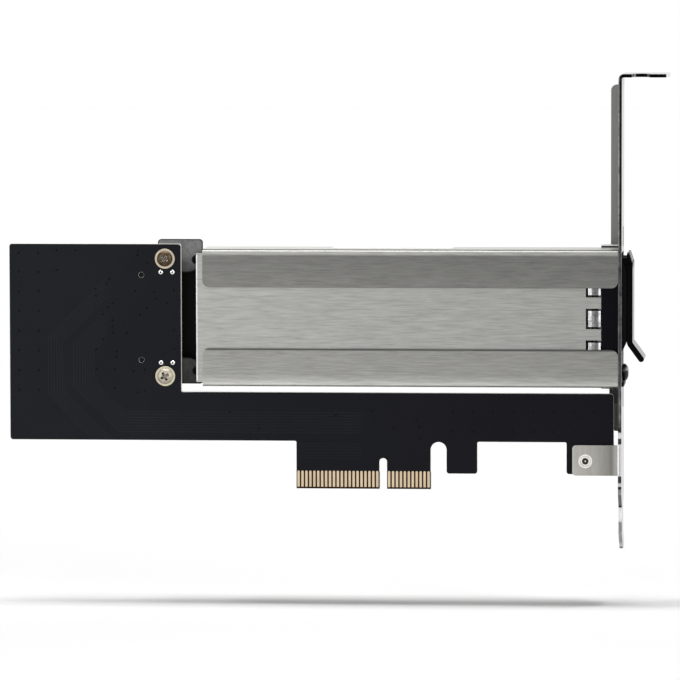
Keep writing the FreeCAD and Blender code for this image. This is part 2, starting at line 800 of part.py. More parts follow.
def make_bezel():
    """Moulded front: a hollow block in the window, a raised bulge and two pivot lugs."""
    depth = (tray_near, tray_far)
    recess_x = bracket_outer_x - cam_recess
    block = prism_along_y([
        (bezel_back, tray_bottom, bezel_corner), (bracket_outer_x, tray_bottom, 0),
        (bracket_outer_x, bulge_top_z, 0), (recess_x, bulge_top_z, 0),
        (recess_x, tray_top, 0), (bezel_back, tray_top, bezel_corner),
    ], depth)
    pocket = prism_along_x(rectangle(
        (tray_near + bezel_wall, tray_far - bezel_wall),
        (tray_bottom + bezel_wall, tray_top - bezel_wall), bezel_corner),
        (bezel_back, recess_x - bezel_wall))
    screw_seat = Vector(bezel_back, tray_middle_y, bezel_screw_z)
    screw_face = Vector(bracket_outer_x, tray_middle_y, bezel_screw_z)
    block = block.cut(pocket)

    face_x, front_x = bracket_outer_x, bulge_face
    sweep = (bulge_round ** 2 + bulge_depth ** 2) / (2 * bulge_depth)
    half_turn = math.asin(bulge_round / sweep) / 2
    crown_x = front_x - sweep * (1 - math.cos(half_turn))
    edges = []
    for end_z, inward in ((bulge_bottom_z, 1), (bulge_top_z, -1)):
        level_z = end_z + inward * bulge_round
        corner = Vector(face_x, tray_near, end_z)
        crown = Vector(crown_x, tray_near, level_z - inward * sweep * math.sin(half_turn))
        edges.append(Part.Arc(corner, crown, Vector(front_x, tray_near, level_z)).toShape())
    for x, inset in ((face_x, 0), (front_x, bulge_round)):
        edges.append(Part.LineSegment(Vector(x, tray_near, bulge_bottom_z + inset),
                                      Vector(x, tray_near, bulge_top_z - inset)).toShape())
    wire = Part.Wire(Part.__sortEdges__(edges))
    bulge = Part.Face(wire).extrude(Vector(0, depth[1] - depth[0], 0))
    lip = box((face_x, face_x + bezel_lip_thickness), depth,
              (tray_bottom - bezel_bottom_lip, tray_bottom + bezel_lip_overlap))
    bezel = block.fuse(bulge).fuse(lip)

    pivot = Vector(pivot_x, 0, pivot_z)
    root_low = pivot_z - 2 * lug_radius
    for y in lug_places:
        span = about(y, lug_width)
        nose = rod(lug_radius, pivot + Vector(0, span[0], 0), pivot + Vector(0, span[1], 0))
        neck = prism_along_y([
            (face_x, root_low, 0), (front_x, root_low, 0), (front_x, pivot_z - lug_radius, 0),
            (pivot_x, pivot_z - lug_radius, 0),
            (pivot_x, pivot_z + lug_rise, lug_round), (face_x, pivot_z + lug_rise, 0),
        ], span)
        bezel = bezel.fuse(nose).fuse(neck)
    bezel = bezel.cut(rod(lever_pin_radius + lever_pin_clearance,
                          pivot + Vector(0, tray_near, 0), pivot + Vector(0, tray_far, 0)))

    latch_slot = box((lever_inner - latch_reach - 2 * latch_clearance, front_x + 1),
                     about(tray_middle_y, latch_width + latch_clearance),
                     about(latch_z, latch_height + 2 * latch_clearance))
    bezel = bezel.cut(latch_slot)
    bezel = bezel.cut(rod(bezel_screw_radius + thread_clearance, screw_seat, screw_face))
    return bezel.removeSplitter()


def make_bezel_screw():
    screw = pan_screw(bezel_screw_head_radius, bezel_screw_head_height,
                      bezel_screw_radius, bezel_screw_length)
    return aim(screw, Vector(bracket_outer_x, tray_middle_y, bezel_screw_z), Vector(1, 0, 0))


def make_thermal_pad():
    return box((lid_rear + thermal_pad_margin, drive_end_x - thermal_pad_margin),
               (lid_back, lid_back + thermal_pad_thickness),
               about(cage_middle_z, thermal_pad_width))


def make_drive_post():
    """Threaded post that carries the free end of the drive."""
    foot = Vector(drive_end_x, tray_far - tray_sheet, cage_middle_z)
    seat = Vector(drive_end_x, drive_level + drive_board / 2, cage_middle_z)
    post = rod(drive_post_radius, foot, seat)
    return post.cut(rod(drive_thread_radius, seat, seat + Vector(0, drive_thread_depth, 0)))


def make_drive_screw():
    seat = Vector(drive_end_x, drive_level + drive_board / 2, cage_middle_z)
    head = rod(drive_screw_head_radius, seat - Vector(0, drive_screw_head_height, 0), seat)
    shank = rod(drive_thread_radius - thread_clearance, seat,
                seat + Vector(0, drive_screw_length, 0))
    return head.fuse(shank)


# ---- Lever ----

def make_lever():
    half = lever_thickness / 2
    turn = math.radians(lever_flare_angle)
    elbow = Vector(lever_inner + half, 0, lever_elbow_z)
    way = Vector(math.sin(turn), 0, -math.cos(turn))
    across = Vector(math.cos(turn), 0, math.sin(turn))
    end = elbow + way * lever_flare_length
    step = half * math.tan(turn / 2)
    inner_end = end - across * half
    outer_end = end + across * half
    cap = half * 0.98
    profile = [
        (lever_inner, lever_tip_z, lever_edge_round),
        (lever_inner, lever_elbow_z - step, lever_bend + lever_thickness),
        (inner_end.x, inner_end.z, cap),
        (outer_end.x, outer_end.z, cap),
        (lever_outer, lever_elbow_z + step, lever_bend),
        (lever_outer, lever_tip_z - lever_taper, lever_brow_round),
        (lever_inner + lever_tip_thickness, lever_tip_z, lever_edge_round),
    ]
    width = about(tray_middle_y, lever_width)
    lever = prism_along_y(profile, width)
    plan = rectangle(width, (end.z - lever_thickness, lever_tip_z), lever_corner)
    lever = lever.common(prism_along_x(plan, (lever_inner - 1, outer_end.x + 2)))

    slot_bottom = pivot_z - lug_radius - lug_clearance
    for y in lug_places:
        lever = lever.cut(box((lever_inner - 1, lever_outer + 1),
                              about(y, lug_width + 2 * lug_clearance),
                              (slot_bottom, lever_tip_z + 1)))
    pivot = Vector(pivot_x, 0, pivot_z)
    lever = lever.cut(rod(lever_pin_radius + lever_bore_clearance,
                          pivot + Vector(0, width[0], 0), pivot + Vector(0, width[1], 0)))

    hook_x = lever_inner - latch_reach
    low, high = about(latch_z, latch_height)
    hook = prism_along_y([
        (lever_inner, high, 0), (hook_x, high, latch_round),
        (hook_x, low + latch_chamfer, latch_round), (hook_x + latch_nose, low, 0),
        (hook_x + latch_nose, high - latch_thickness, 0), (lever_inner, high - latch_thickness, 0),
    ], about(tray_middle_y, latch_width))
    return lever.fuse(hook).removeSplitter()


def make_lever_pin():
    ends = about(tray_middle_y, lever_width - 2 * lever_pin_inset)
    return rod(lever_pin_radius, Vector(pivot_x, ends[0], pivot_z), Vector(pivot_x, ends[1], pivot_z))


os.makedirs("parts", exist_ok=True)
save("circuit_board", make_circuit_board())
save("edge_contacts", make_edge_contacts())
save("board_screws", make_board_screws())
make_components()
save("light_pipe", make_light_pipe())
save("cage", make_cage())
save("mounting_ears", make_mounting_ears())
save("dock_housing", make_dock_housing())
save("drive_socket", make_socket())
save("socket_contacts", make_socket_contacts())
save("bracket", make_bracket())
save("foot_screw", make_foot_screw())
save("label", make_label())
save("tray_base", make_tray_base())
save("tray_lid", make_tray_lid())
save("hinge_leaf", make_hinge_leaf())
save("hinge_pin", make_hinge_pin())
save("bezel", make_bezel())
save("bezel_screw", make_bezel_screw())
save("thermal_pad", make_thermal_pad())
save("drive_post", make_drive_post())
save("drive_screw", make_drive_screw())
save("lever", make_lever())
save("lever_pin", make_lever_pin())
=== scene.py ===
import json
import math
import bmesh
import bpy
from mathutils import Matrix, Vector

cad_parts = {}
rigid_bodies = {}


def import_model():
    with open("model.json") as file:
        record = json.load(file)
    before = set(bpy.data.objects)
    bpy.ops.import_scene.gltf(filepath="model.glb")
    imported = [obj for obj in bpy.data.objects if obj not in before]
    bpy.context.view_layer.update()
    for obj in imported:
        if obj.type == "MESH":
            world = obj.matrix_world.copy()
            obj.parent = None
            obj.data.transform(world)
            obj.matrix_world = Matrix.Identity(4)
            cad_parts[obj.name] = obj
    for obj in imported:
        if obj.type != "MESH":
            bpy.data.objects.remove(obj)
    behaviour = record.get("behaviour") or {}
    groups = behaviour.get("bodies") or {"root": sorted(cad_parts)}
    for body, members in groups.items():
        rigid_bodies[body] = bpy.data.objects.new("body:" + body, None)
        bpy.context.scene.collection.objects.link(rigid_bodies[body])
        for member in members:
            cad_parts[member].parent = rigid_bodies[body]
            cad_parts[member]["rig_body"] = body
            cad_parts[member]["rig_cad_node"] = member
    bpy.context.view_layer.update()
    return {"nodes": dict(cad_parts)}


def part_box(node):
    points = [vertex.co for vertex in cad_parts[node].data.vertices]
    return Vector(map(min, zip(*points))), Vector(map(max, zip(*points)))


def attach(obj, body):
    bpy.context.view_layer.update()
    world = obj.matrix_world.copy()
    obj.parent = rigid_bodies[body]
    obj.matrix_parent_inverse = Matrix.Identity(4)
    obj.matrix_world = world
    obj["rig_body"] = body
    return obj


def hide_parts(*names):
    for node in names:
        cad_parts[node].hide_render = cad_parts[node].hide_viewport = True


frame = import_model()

mm = 0.001
hair = 0.01 * mm  # how near an edge has to be to count as lying on a line
mergeDistance = 0.002 * mm
flatAngle = 0.3  # degrees, below this two faces count as one flat face
smoothAngle = 32


# working habits: what is selected, what is copied, what is applied

def letGo():
    if bpy.context.object and bpy.context.object.mode != "OBJECT":
        bpy.ops.object.mode_set(mode="OBJECT")
    bpy.ops.object.select_all(action="DESELECT")


def pickUp(piece):
    letGo()
    piece.select_set(True)
    bpy.context.view_layer.objects.active = piece


def openMesh(piece):
    pickUp(piece)
    bpy.ops.object.mode_set(mode="EDIT")
    bpy.ops.mesh.select_all(action="DESELECT")


def closeMesh():
    bpy.ops.object.mode_set(mode="OBJECT")


def chooseFaces(piece, wanted):  # wanted(centre, normal), in the object's own frame
    bpy.ops.mesh.select_mode(type="FACE")
    bpy.ops.mesh.select_all(action="DESELECT")
    mesh = bmesh.from_edit_mesh(piece.data)
    for face in mesh.faces:
        if wanted(face.calc_center_median(), face.normal):
            face.select_set(True)
    mesh.select_flush_mode()
    bmesh.update_edit_mesh(piece.data)


def chooseEdges(piece, wanted):  # wanted(first end, second end)
    bpy.ops.mesh.select_mode(type="EDGE")
    bpy.ops.mesh.select_all(action="DESELECT")
    mesh = bmesh.from_edit_mesh(piece.data)
    for edge in mesh.edges:
        if wanted(edge.verts[0].co, edge.verts[1].co):
            edge.select_set(True)
    mesh.select_flush_mode()
    bmesh.update_edit_mesh(piece.data)


def paintFaces(piece, slotNumber, wanted):
    openMesh(piece)
    chooseFaces(piece, wanted)
    piece.active_material_index = slotNumber
    bpy.ops.object.material_slot_assign()
    closeMesh()


def settle(piece, name):  # place goes into the mesh, the object stays at the origin
    pickUp(piece)
    bpy.ops.object.transform_apply(location=True, rotation=True, scale=True)
    piece.name = name
    piece.data.name = name
    return piece


def coat(piece, *finishes):
    piece.data.materials.clear()
    for finish in finishes:
        piece.data.materials.append(finish)


def softenEdges(piece, width, segments=2, angle=40, slotNumber=-1):
    pickUp(piece)
    bevel = piece.modifiers.new("Edges", "BEVEL")
    bevel.width = width
    bevel.segments = segments
    bevel.limit_method = "ANGLE"
    bevel.angle_limit = math.radians(angle)
    bevel.material = slotNumber
    bpy.ops.object.modifier_apply(modifier="Edges")
    smoothFlat(piece)


def smoothFlat(piece):  # smooth rounds, with large flat faces kept flat
    pickUp(piece)
    bpy.ops.object.shade_smooth_by_angle(angle=math.radians(smoothAngle))
    weigh = piece.modifiers.new("FlatFaces", "WEIGHTED_NORMAL")
    weigh.keep_sharp = True
    bpy.ops.object.modifier_apply(modifier="FlatFaces")


def cutWith(piece, cutter, operation="DIFFERENCE"):
    pickUp(piece)
    cut = piece.modifiers.new("Cut", "BOOLEAN")
    cut.operation = operation
    cut.solver = "EXACT"
    cut.object = cutter
    bpy.ops.object.modifier_apply(modifier="Cut")
    bpy.data.objects.remove(cutter)


def copyOfNode(nodeName, pieceName):  # a merged copy with flat faces joined, ready to shape
    pickUp(frame["nodes"][nodeName])
    bpy.ops.object.duplicate()
    piece = bpy.context.object
    bpy.ops.object.parent_clear(type="CLEAR_KEEP_TRANSFORM")
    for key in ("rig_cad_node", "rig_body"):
        del piece[key]
    piece.name = pieceName
    piece.data.name = pieceName
    bpy.ops.mesh.customdata_custom_splitnormals_clear()
    openMesh(piece)
    bpy.ops.mesh.select_all(action="SELECT")
    bpy.ops.mesh.remove_doubles(threshold=mergeDistance)
    bpy.ops.mesh.dissolve_limited(angle_limit=math.radians(flatAngle))
    closeMesh()
    return piece


def standFor(piece, body, slotName, *nodeNames):
    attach(piece, body)
    if nodeNames:
        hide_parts(*nodeNames)


def joined(pieces, name):
    letGo()
    for piece in pieces:
        piece.select_set(True)
    bpy.context.view_layer.objects.active = pieces[0]
    bpy.ops.object.join()
    return settle(bpy.context.object, name)


def copyTo(piece, shift):
    pickUp(piece)
    bpy.ops.object.duplicate()
    bpy.ops.transform.translate(value=shift)
    return bpy.context.object


def raiseDot(name, radius, corners, rings):  # a disc on the board's face, drawn out ring by ring
    face = boardBox[0].y
    bpy.ops.mesh.primitive_circle_add(vertices=corners, radius=radius, fill_type="NGON",
                                      location=(0, face, 0), rotation=(math.pi / 2, 0, 0))
    dot = settle(bpy.context.object, name)
    openMesh(dot)
    bpy.ops.mesh.select_all(action="SELECT")
    width = radius
    for nextWidth, rise in rings:
        bpy.ops.mesh.extrude_region_move(TRANSFORM_OT_translate={"value": (0, -rise * mm, 0)})
        scale = nextWidth * mm / width
        bpy.ops.transform.resize(value=(scale, 1, scale), center_override=(0, face, 0))
        width = nextWidth * mm
    bpy.ops.mesh.select_all(action="SELECT")
    bpy.ops.mesh.normals_make_consistent(inside=False)
    closeMesh()
    return dot


# finishes, all on Object coordinates in metres

bumpDepth = 0.02 * mm
steelCloud = (30, 30, 60)
plasticCloud = (120, 120, 120)


def startFinish(name):
    finish = bpy.data.materials.new(name)
    finish.use_nodes = True
    return finish, finish.node_tree, finish.node_tree.nodes["Principled BSDF"]


def placeOn(tree, scale, turn=(0, 0, 0)):
    coords = tree.nodes.new("ShaderNodeTexCoord")
    mapping = tree.nodes.new("ShaderNodeMapping")
    mapping.inputs["Scale"].default_value = scale
    mapping.inputs["Rotation"].default_value = turn
    tree.links.new(coords.outputs["Object"], mapping.inputs["Vector"])
    return mapping.outputs["Vector"]


def axisOf(tree, axis):
    coords = tree.nodes.new("ShaderNodeTexCoord")
    split = tree.nodes.new("ShaderNodeSeparateXYZ")
    tree.links.new(coords.outputs["Object"], split.inputs[0])
    return split.outputs[axis]


def grain(tree, vector, detail, roughness):
    noise = tree.nodes.new("ShaderNodeTexNoise")
    noise.inputs["Scale"].default_value = 1
    noise.inputs["Detail"].default_value = detail
    noise.inputs["Roughness"].default_value = roughness
    tree.links.new(vector, noise.inputs["Vector"])
    return noise.outputs["Fac"]


def span(tree, value, low, high, toLow=0.0, toHigh=1.0):
    remap = tree.nodes.new("ShaderNodeMapRange")
    ends = {"From Min": low, "From Max": high, "To Min": toLow, "To Max": toHigh}
    for key, number in ends.items():
        remap.inputs[key].default_value = number
    tree.links.new(value, remap.inputs["Value"])
    return remap.outputs["Result"]


def ramp(tree, value, stops):
    node = tree.nodes.new("ShaderNodeValToRGB")
    band = node.color_ramp
    while len(band.elements) < len(stops):
        band.elements.new(0.5)
    for element, (place, colour) in zip(band.elements, stops):
        element.position = place
        element.color = (*colour, 1) if isinstance(colour, tuple) else (*(colour,) * 3, 1)
    tree.links.new(value, node.inputs["Fac"])
    return node.outputs["Color"]


def bandsAlong(tree, axis, stops):  # each stop is a place in mm and its tone
    low, high = stops[0][0], stops[-1][0]
    level = span(tree, axisOf(tree, axis), low * mm, high * mm)
    return ramp(tree, level, [((place - low) / (high - low), tone) for place, tone in stops])


def reckon(tree, operation, *terms):
    node = tree.nodes.new("ShaderNodeMath")
    node.operation = operation
    for socket, term in zip(node.inputs, terms):
        if isinstance(term, (int, float)):
            socket.default_value = term
        else:
            tree.links.new(term, socket)
    return node.outputs[0]


def times(tree, first, second):
    mix = tree.nodes.new("ShaderNodeMix")
    mix.data_type = "RGBA"
    mix.blend_type = "MULTIPLY"
    mix.clamp_result = False
    mix.inputs["Factor"].default_value = 1
    tree.links.new(first, mix.inputs["A"])
    tree.links.new(second, mix.inputs["B"])
    return mix.outputs["Result"]


def blendColours(tree, share, first, second):
    mix = tree.nodes.new("ShaderNodeMix")
    mix.data_type = "RGBA"
    tree.links.new(share, mix.inputs["Factor"])
    for key, colour in (("A", first), ("B", second)):
        if isinstance(colour, tuple):
            mix.inputs[key].default_value = (*colour, 1)
        else:
            tree.links.new(colour, mix.inputs[key])
    return mix.outputs["Result"]


def roughenBy(tree, shader, height, strength, distance=bumpDepth):
    bump = tree.nodes.new("ShaderNodeBump")
    bump.inputs["Strength"].default_value = strength
    bump.inputs["Distance"].default_value = distance
    tree.links.new(height, bump.inputs["Height"])
    tree.links.new(bump.outputs["Normal"], shader.inputs["Normal"])


def shades(tree, texture, tint, stops):  # each stop is a place in the texture and a factor
    return ramp(tree, texture, [(place, tuple(channel * factor for channel in tint))
                                for place, factor in stops])


def unevenGloss(tree, shader, texture, level, below, above):
    tree.links.new(span(tree, texture, 0.2, 0.8, level - below, level + above),
                   shader.inputs["Roughness"])


def sheetSteel(name, look, paintedLight=None):  # brushed, with streaks along the sheet
    finish, tree, shader = startFinish(name)
    streaks = grain(tree, placeOn(tree, look["streaks"]), 4, 0.62)
    steel = shades(tree, streaks, look["tint"],
                   ((0.28, 1 - look["contrast"]), (0.5, 1), (0.74, 1 + look["contrast"])))
    cloud = grain(tree, placeOn(tree, steelCloud), 2, 0.5)
    steel = times(tree, steel, ramp(tree, cloud, [(0.3, 0.95), (0.7, 1.0)]))
    # painted light: the tint falls off along X, lighter at the rear end than at the bracket end
    if "along" in look:
        rear, front, toRear, toFront = look["along"]
        lightFalloff = span(tree, axisOf(tree, "X"), rear, front, toRear, toFront)
        steel = times(tree, steel, lightFalloff)
    # painted light and shade laid over the tint, when one is given
    if paintedLight:
        steel = times(tree, steel, paintedLight(tree))
    tree.links.new(steel, shader.inputs["Base Color"])
    unevenGloss(tree, shader, streaks, look["roughness"], 0.06, 0.08)
    shader.inputs["Metallic"].default_value = 1
    roughenBy(tree, shader, streaks, look["bump"])
    return finish


def plainMetal(name, look):
    finish, tree, shader = startFinish(name)
    spots = grain(tree, placeOn(tree, look["spots"]), 4, 0.65)
    metal = shades(tree, spots, look["tint"],
                   ((0.25, 1 - look["contrast"]), (0.5, 1), (0.78, 1 + look["contrast"])))
    tree.links.new(metal, shader.inputs["Base Color"])
    unevenGloss(tree, shader, spots, look["roughness"], 0.05, 0.1)
    shader.inputs["Metallic"].default_value = 1
    roughenBy(tree, shader, spots, look.get("bump", 0.12))
    return finish


def paintedBandSteel(name, look):  # tone in bands along one axis: painted highlights and shade, under a mottle
    finish, tree, shader = startFinish(name)
    mottle = grain(tree, placeOn(tree, look["spots"]), 4, 0.7)
    texture = ramp(tree, mottle, [(0.34, 1 - look["contrast"]), (0.5, 1.0),
                                  (0.66, 1 + look["contrast"])])
    steel = times(tree, bandsAlong(tree, look["axis"], look["bands"]), texture)
    tree.links.new(steel, shader.inputs["Base Color"])
    unevenGloss(tree, shader, mottle, look["roughness"], 0.05, 0.1)
    shader.inputs["Metallic"].default_value = 1
    roughenBy(tree, shader, mottle, 0.15)
    return finish


def mouldedPlastic(name, look):
    finish, tree, shader = startFinish(name)
    pores = grain(tree, placeOn(tree, (look["pores"],) * 3), 4, 0.7)
    cloud = grain(tree, placeOn(tree, plasticCloud), 2, 0.5)
    plastic = shades(tree, pores, look["tint"], ((0.3, 0.75), (0.5, 1), (0.75, 1.3)))
    plastic = times(tree, plastic, ramp(tree, cloud, [(0.3, 0.9), (0.7, 1.0)]))
    tree.links.new(plastic, shader.inputs["Base Color"])
    unevenGloss(tree, shader, pores, look["roughness"], 0.06, 0.08)
    shader.inputs["Specular IOR Level"].default_value = look["shine"]
    roughenBy(tree, shader, pores, look.get("bump", 0.15))
    return finish


def traceNest(tree, look):  # nested copper runs with 45 degree corners, showing under the lacquer
    along, up = axisOf(tree, "X"), axisOf(tree, "Z")
    aside = reckon(tree, "SUBTRACT", look["centre"][0], along)
    aside = reckon(tree, "MAXIMUM", aside, 0)
    rise = reckon(tree, "ABSOLUTE", reckon(tree, "SUBTRACT", up, look["centre"][1]))
    slant = reckon(tree, "MULTIPLY", reckon(tree, "ADD", aside, rise), look["corner"])
    reach = reckon(tree, "MAXIMUM", reckon(tree, "MAXIMUM", aside, rise), slant)
    ridge = reckon(tree, "SINE", reckon(tree, "MULTIPLY", reach, math.tau / look["pitch"]))
    ridge = span(tree, ridge, *look["ridge"])
    bands = ramp(tree, span(tree, reach, 0, look["size"]), look["bands"])
    upper = span(tree, along, look["upperEnd"] - mm, look["upperEnd"], 1, 0)
    lower = reckon(tree, "MULTIPLY",
                   span(tree, up, look["lowerTop"], look["lowerTop"] + mm, 1, 0),
                   span(tree, along, look["lowerEnd"] - mm, look["lowerEnd"], 1, 0))
    return reckon(tree, "MULTIPLY", reckon(tree, "MULTIPLY", ridge, bands),
                  reckon(tree, "MAXIMUM", upper, lower))


def boardMask(name, look):  # dark lacquer over copper and woven glass
    finish, tree, shader = startFinish(name)
    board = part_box("circuit_board")
    across = span(tree, axisOf(tree, "X"), board[0].x, board[1].x)
    lacquer = blendColours(tree, across, look["rearTint"], look["frontTint"])
    weaves = []
    for turn in ((0, 0, 0), (0, math.pi / 2, 0)):
        wave = tree.nodes.new("ShaderNodeTexWave")
        wave.inputs["Scale"].default_value = look["weave"]
        wave.inputs["Distortion"].default_value = look["waviness"]
        wave.inputs["Detail"].default_value = 1
        tree.links.new(placeOn(tree, (1, 1, 1), turn), wave.inputs["Vector"])
        weaves.append(wave.outputs["Color"])
    glass = ramp(tree, times(tree, weaves[0], weaves[1]), [(0, 0.92), (1, 1.1)])
    cloud = grain(tree, placeOn(tree, look["cloud"]), 3, 0.55)
    cloud = ramp(tree, cloud, [(0.3, 0.86), (0.7, 1.1)])
    lacquer = times(tree, times(tree, lacquer, glass), cloud)
    traces = traceNest(tree, look["traces"])
    lacquer = times(tree, lacquer, ramp(tree, traces, [(0, 1.0), (1, look["traces"]["glow"])]))
    tree.links.new(lacquer, shader.inputs["Base Color"])
    speckle = grain(tree, placeOn(tree, look["speckle"]), 2, 0.5)
    unevenGloss(tree, shader, speckle, look["roughness"], 0.05, 0.07)
    shader.inputs["Specular IOR Level"].default_value = look["shine"]
    roughenBy(tree, shader, traces, 0.3)
    return finish


def goldPlate(name, look):
    finish, tree, shader = startFinish(name)
    scuffs = grain(tree, placeOn(tree, look["scuffs"]), 4, 0.6)
    gold = shades(tree, scuffs, look["tint"], ((0.25, 0.86), (0.5, 1), (0.8, 1.12)))
    tree.links.new(gold, shader.inputs["Base Color"])
    unevenGloss(tree, shader, scuffs, look["roughness"], 0.04, 0.1)
    shader.inputs["Metallic"].default_value = 1
    roughenBy(tree, shader, scuffs, 0.1, 0.01 * mm)
    return finish


def glassFibre(name, look):  # the sawn edge of the board and its bare face
    finish, tree, shader = startFinish(name)
    plies = grain(tree, placeOn(tree, look["plies"]), 3, 0.6)
    fibre = shades(tree, plies, look["tint"], ((0.3, 0.75), (0.5, 1), (0.75, 1.2)))
    tree.links.new(fibre, shader.inputs["Base Color"])
    unevenGloss(tree, shader, plies, look["roughness"], 0, 0.2)
    shader.inputs["Specular IOR Level"].default_value = look["shine"]
    roughenBy(tree, shader, plies, 0.2)
    return finish


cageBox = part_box("cage")
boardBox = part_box("circuit_board")
print("frame loaded:", len(frame["nodes"]), "nodes")

# circuit board

boardLook = {
    "rearTint": (0.0118, 0.0136, 0.0172), "frontTint": (0.0054, 0.0048, 0.0082),
    "weave": 520, "waviness": 1.5, "cloud": (45, 45, 45), "speckle": (2500, 2500, 2500),
    "roughness": 0.4, "shine": 0.08,
    "traces": {"centre": (-62 * mm, 31 * mm), "pitch": 0.72 * mm, "size": 25 * mm, "corner": 0.76,
               "ridge": (0.1, 0.7), "glow": 1.45,
               "bands": [(0.0, 0.0), (0.45, 0.0), (0.46, 1.0), (0.68, 1.0), (0.69, 0.0),
                         (0.76, 0.0), (0.77, 1.0), (0.935, 1.0), (0.94, 0.0)],
               "upperEnd": -70 * mm, "lowerTop": 22 * mm, "lowerEnd": -5 * mm},
    "edge": {"tint": (0.86, 0.84, 0.78), "plies": (200, 6000, 200), "roughness": 0.5, "shine": 0.3},
    "bare": {"tint": (0.024, 0.010, 0.002), "plies": (900, 900, 900), "roughness": 0.5,
             "shine": 0.06},
    "edgeWidth": 0.2 * mm, "fingerTop": 4.4 * mm, "fingerMargin": 1 * mm,
}
maskFinish = boardMask("boardMask", boardLook)
edgeFinish = glassFibre("boardEdge", boardLook["edge"])
bareFinish = glassFibre("bareBoard", boardLook["bare"])


def makeBoard(look):
    board = copyOfNode("circuit_board", "boardPanel")
    openMesh(board)
    bpy.ops.mesh.select_all(action="SELECT")
    bpy.ops.mesh.bisect(plane_co=(0, 0, look["fingerTop"]), plane_no=(0, 0, 1))
    closeMesh()
    coat(board, maskFinish, edgeFinish, bareFinish)
    low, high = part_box("edge_contacts")
    rear, front = low.x - look["fingerMargin"], high.x + look["fingerMargin"]
    sawn, bare = 1, 2  # the finishes after the first, in their order
    paintFaces(board, sawn, lambda centre, normal: abs(normal.y) < 0.5)
    paintFaces(board, bare, lambda centre, normal: centre.z < look["fingerTop"]
               and rear < centre.x < front)
    softenEdges(board, look["edgeWidth"], segments=1, slotNumber=sawn)
    standFor(board, "card", "circuit_board", "circuit_board")


makeBoard(boardLook)

contactLook = {
    "pitch": 1 * mm, "firstMiddle": 0.35 * mm, "reach": 0.4 * mm, "narrow": 0.86,
    "round": 0.24 * mm,
    "tint": (0.66, 0.53, 0.37), "roughness": 0.3, "scuffs": (900, 900, 220),
}
contactFinish = goldPlate("contactGold", contactLook)


def makeContacts(look):
    contacts = copyOfNode("edge_contacts", "goldFingers")
    low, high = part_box("edge_contacts")
    openMesh(contacts)
    chooseEdges(contacts, lambda first, second: min(first.z, second.z) > high.z - hair
                and abs(first.x - second.x) < hair)
    bpy.ops.mesh.bevel(offset=look["round"], segments=3, affect="EDGES")
    middle = low.x + look["firstMiddle"]
    while middle < high.x:  # each finger in turn is drawn in towards its middle
        chooseEdges(contacts, lambda first, second:
                    abs((first.x + second.x) / 2 - middle) < look["reach"])
        bpy.ops.transform.resize(value=(look["narrow"], 1, 1), center_override=(middle, 0, 0))
        middle += look["pitch"]
    closeMesh()
    coat(contacts, contactFinish)
    standFor(contacts, "card", "edge_contacts", "edge_contacts")


makeContacts(contactLook)
print("board ready")

# gold pads, solder dots and the screws that hold the ears

padLook = {
    "radius": 2.52 * mm, "hole": 1.5 * mm, "thickness": 0.05 * mm, "edgeWidth": 0.015 * mm,
    "tint": (0.57, 0.50, 0.38), "paleTint": (0.60, 0.56, 0.42), "roughness": 0.34,
    "scuffs": (900, 900, 900),
}
padFinish = goldPlate("padGold", padLook)
palePadFinish = goldPlate("padTin", dict(padLook, tint=padLook["paleTint"]))


def makePad(name, place, look, finish):
    bpy.ops.mesh.primitive_circle_add(vertices=48, radius=look["radius"], fill_type="NGON",
                                      location=place, rotation=(math.pi / 2, 0, 0))
    pad = settle(bpy.context.object, name)
    openMesh(pad)
    bpy.ops.mesh.select_all(action="SELECT")
    bpy.ops.mesh.inset(thickness=look["radius"] - look["hole"])
    bpy.ops.mesh.delete(type="FACE")
    bpy.ops.mesh.select_all(action="SELECT")
    bpy.ops.mesh.extrude_region_move(TRANSFORM_OT_translate={"value": (0, -look["thickness"], 0)})
    bpy.ops.mesh.select_all(action="SELECT")
    bpy.ops.mesh.normals_make_consistent(inside=False)
    closeMesh()
    softenEdges(pad, look["edgeWidth"], segments=1)
    coat(pad, finish)
    standFor(pad, "card", "board_screws")


screwLook = {
    "head": 1.95 * mm, "rim": 0.5 * mm, "steps": ((0.22, 0.28), (0.35, 0.26), (0.45, 0.16)),
    "shank": 1.2 * mm, "tip": 0.25 * mm, "tipLength": 0.2 * mm, "clearance": 0.3 * mm,
    "recess": 0.6 * mm, "arm": 0.8 * mm, "depth": 0.85 * mm, "taper": 0.7,
    "wallFoot": 0.8, "wallTop": 0.12 * mm, "floor": 0.3 * mm,
    "edgeWidth": 0.05 * mm, "spins": (0.6, 1.05),
    "steel": {"tint": (0.44, 0.40, 0.33), "spots": (1100, 1100, 1100), "contrast": 0.3,
              "roughness": 0.46},
    "bronze": {"tint": (0.075, 0.055, 0.035), "spots": (1300, 1300, 1300), "contrast": 0.95,
               "roughness": 0.42},
    "bright": {"tint": (0.80, 0.78, 0.74), "spots": (1500, 1500, 1500), "contrast": 0.16,
               "roughness": 0.2},
    # dark: painted shade for hollows: screw recesses, the solder dots' pits, the foot screw's sunk
    # ring and the wall of its hole
    "dark": {"tint": (0.06, 0.05, 0.045), "spots": (1500, 1500, 1500), "contrast": 0.5,
             "roughness": 0.5},
}
screwFinish = plainMetal("screwSteel", screwLook["steel"])
bronzeFinish = plainMetal("screwBronze", screwLook["bronze"])
footFinish = plainMetal("footSteel", screwLook["bright"])
recessShadeFinish = plainMetal("recessShade", screwLook["dark"])


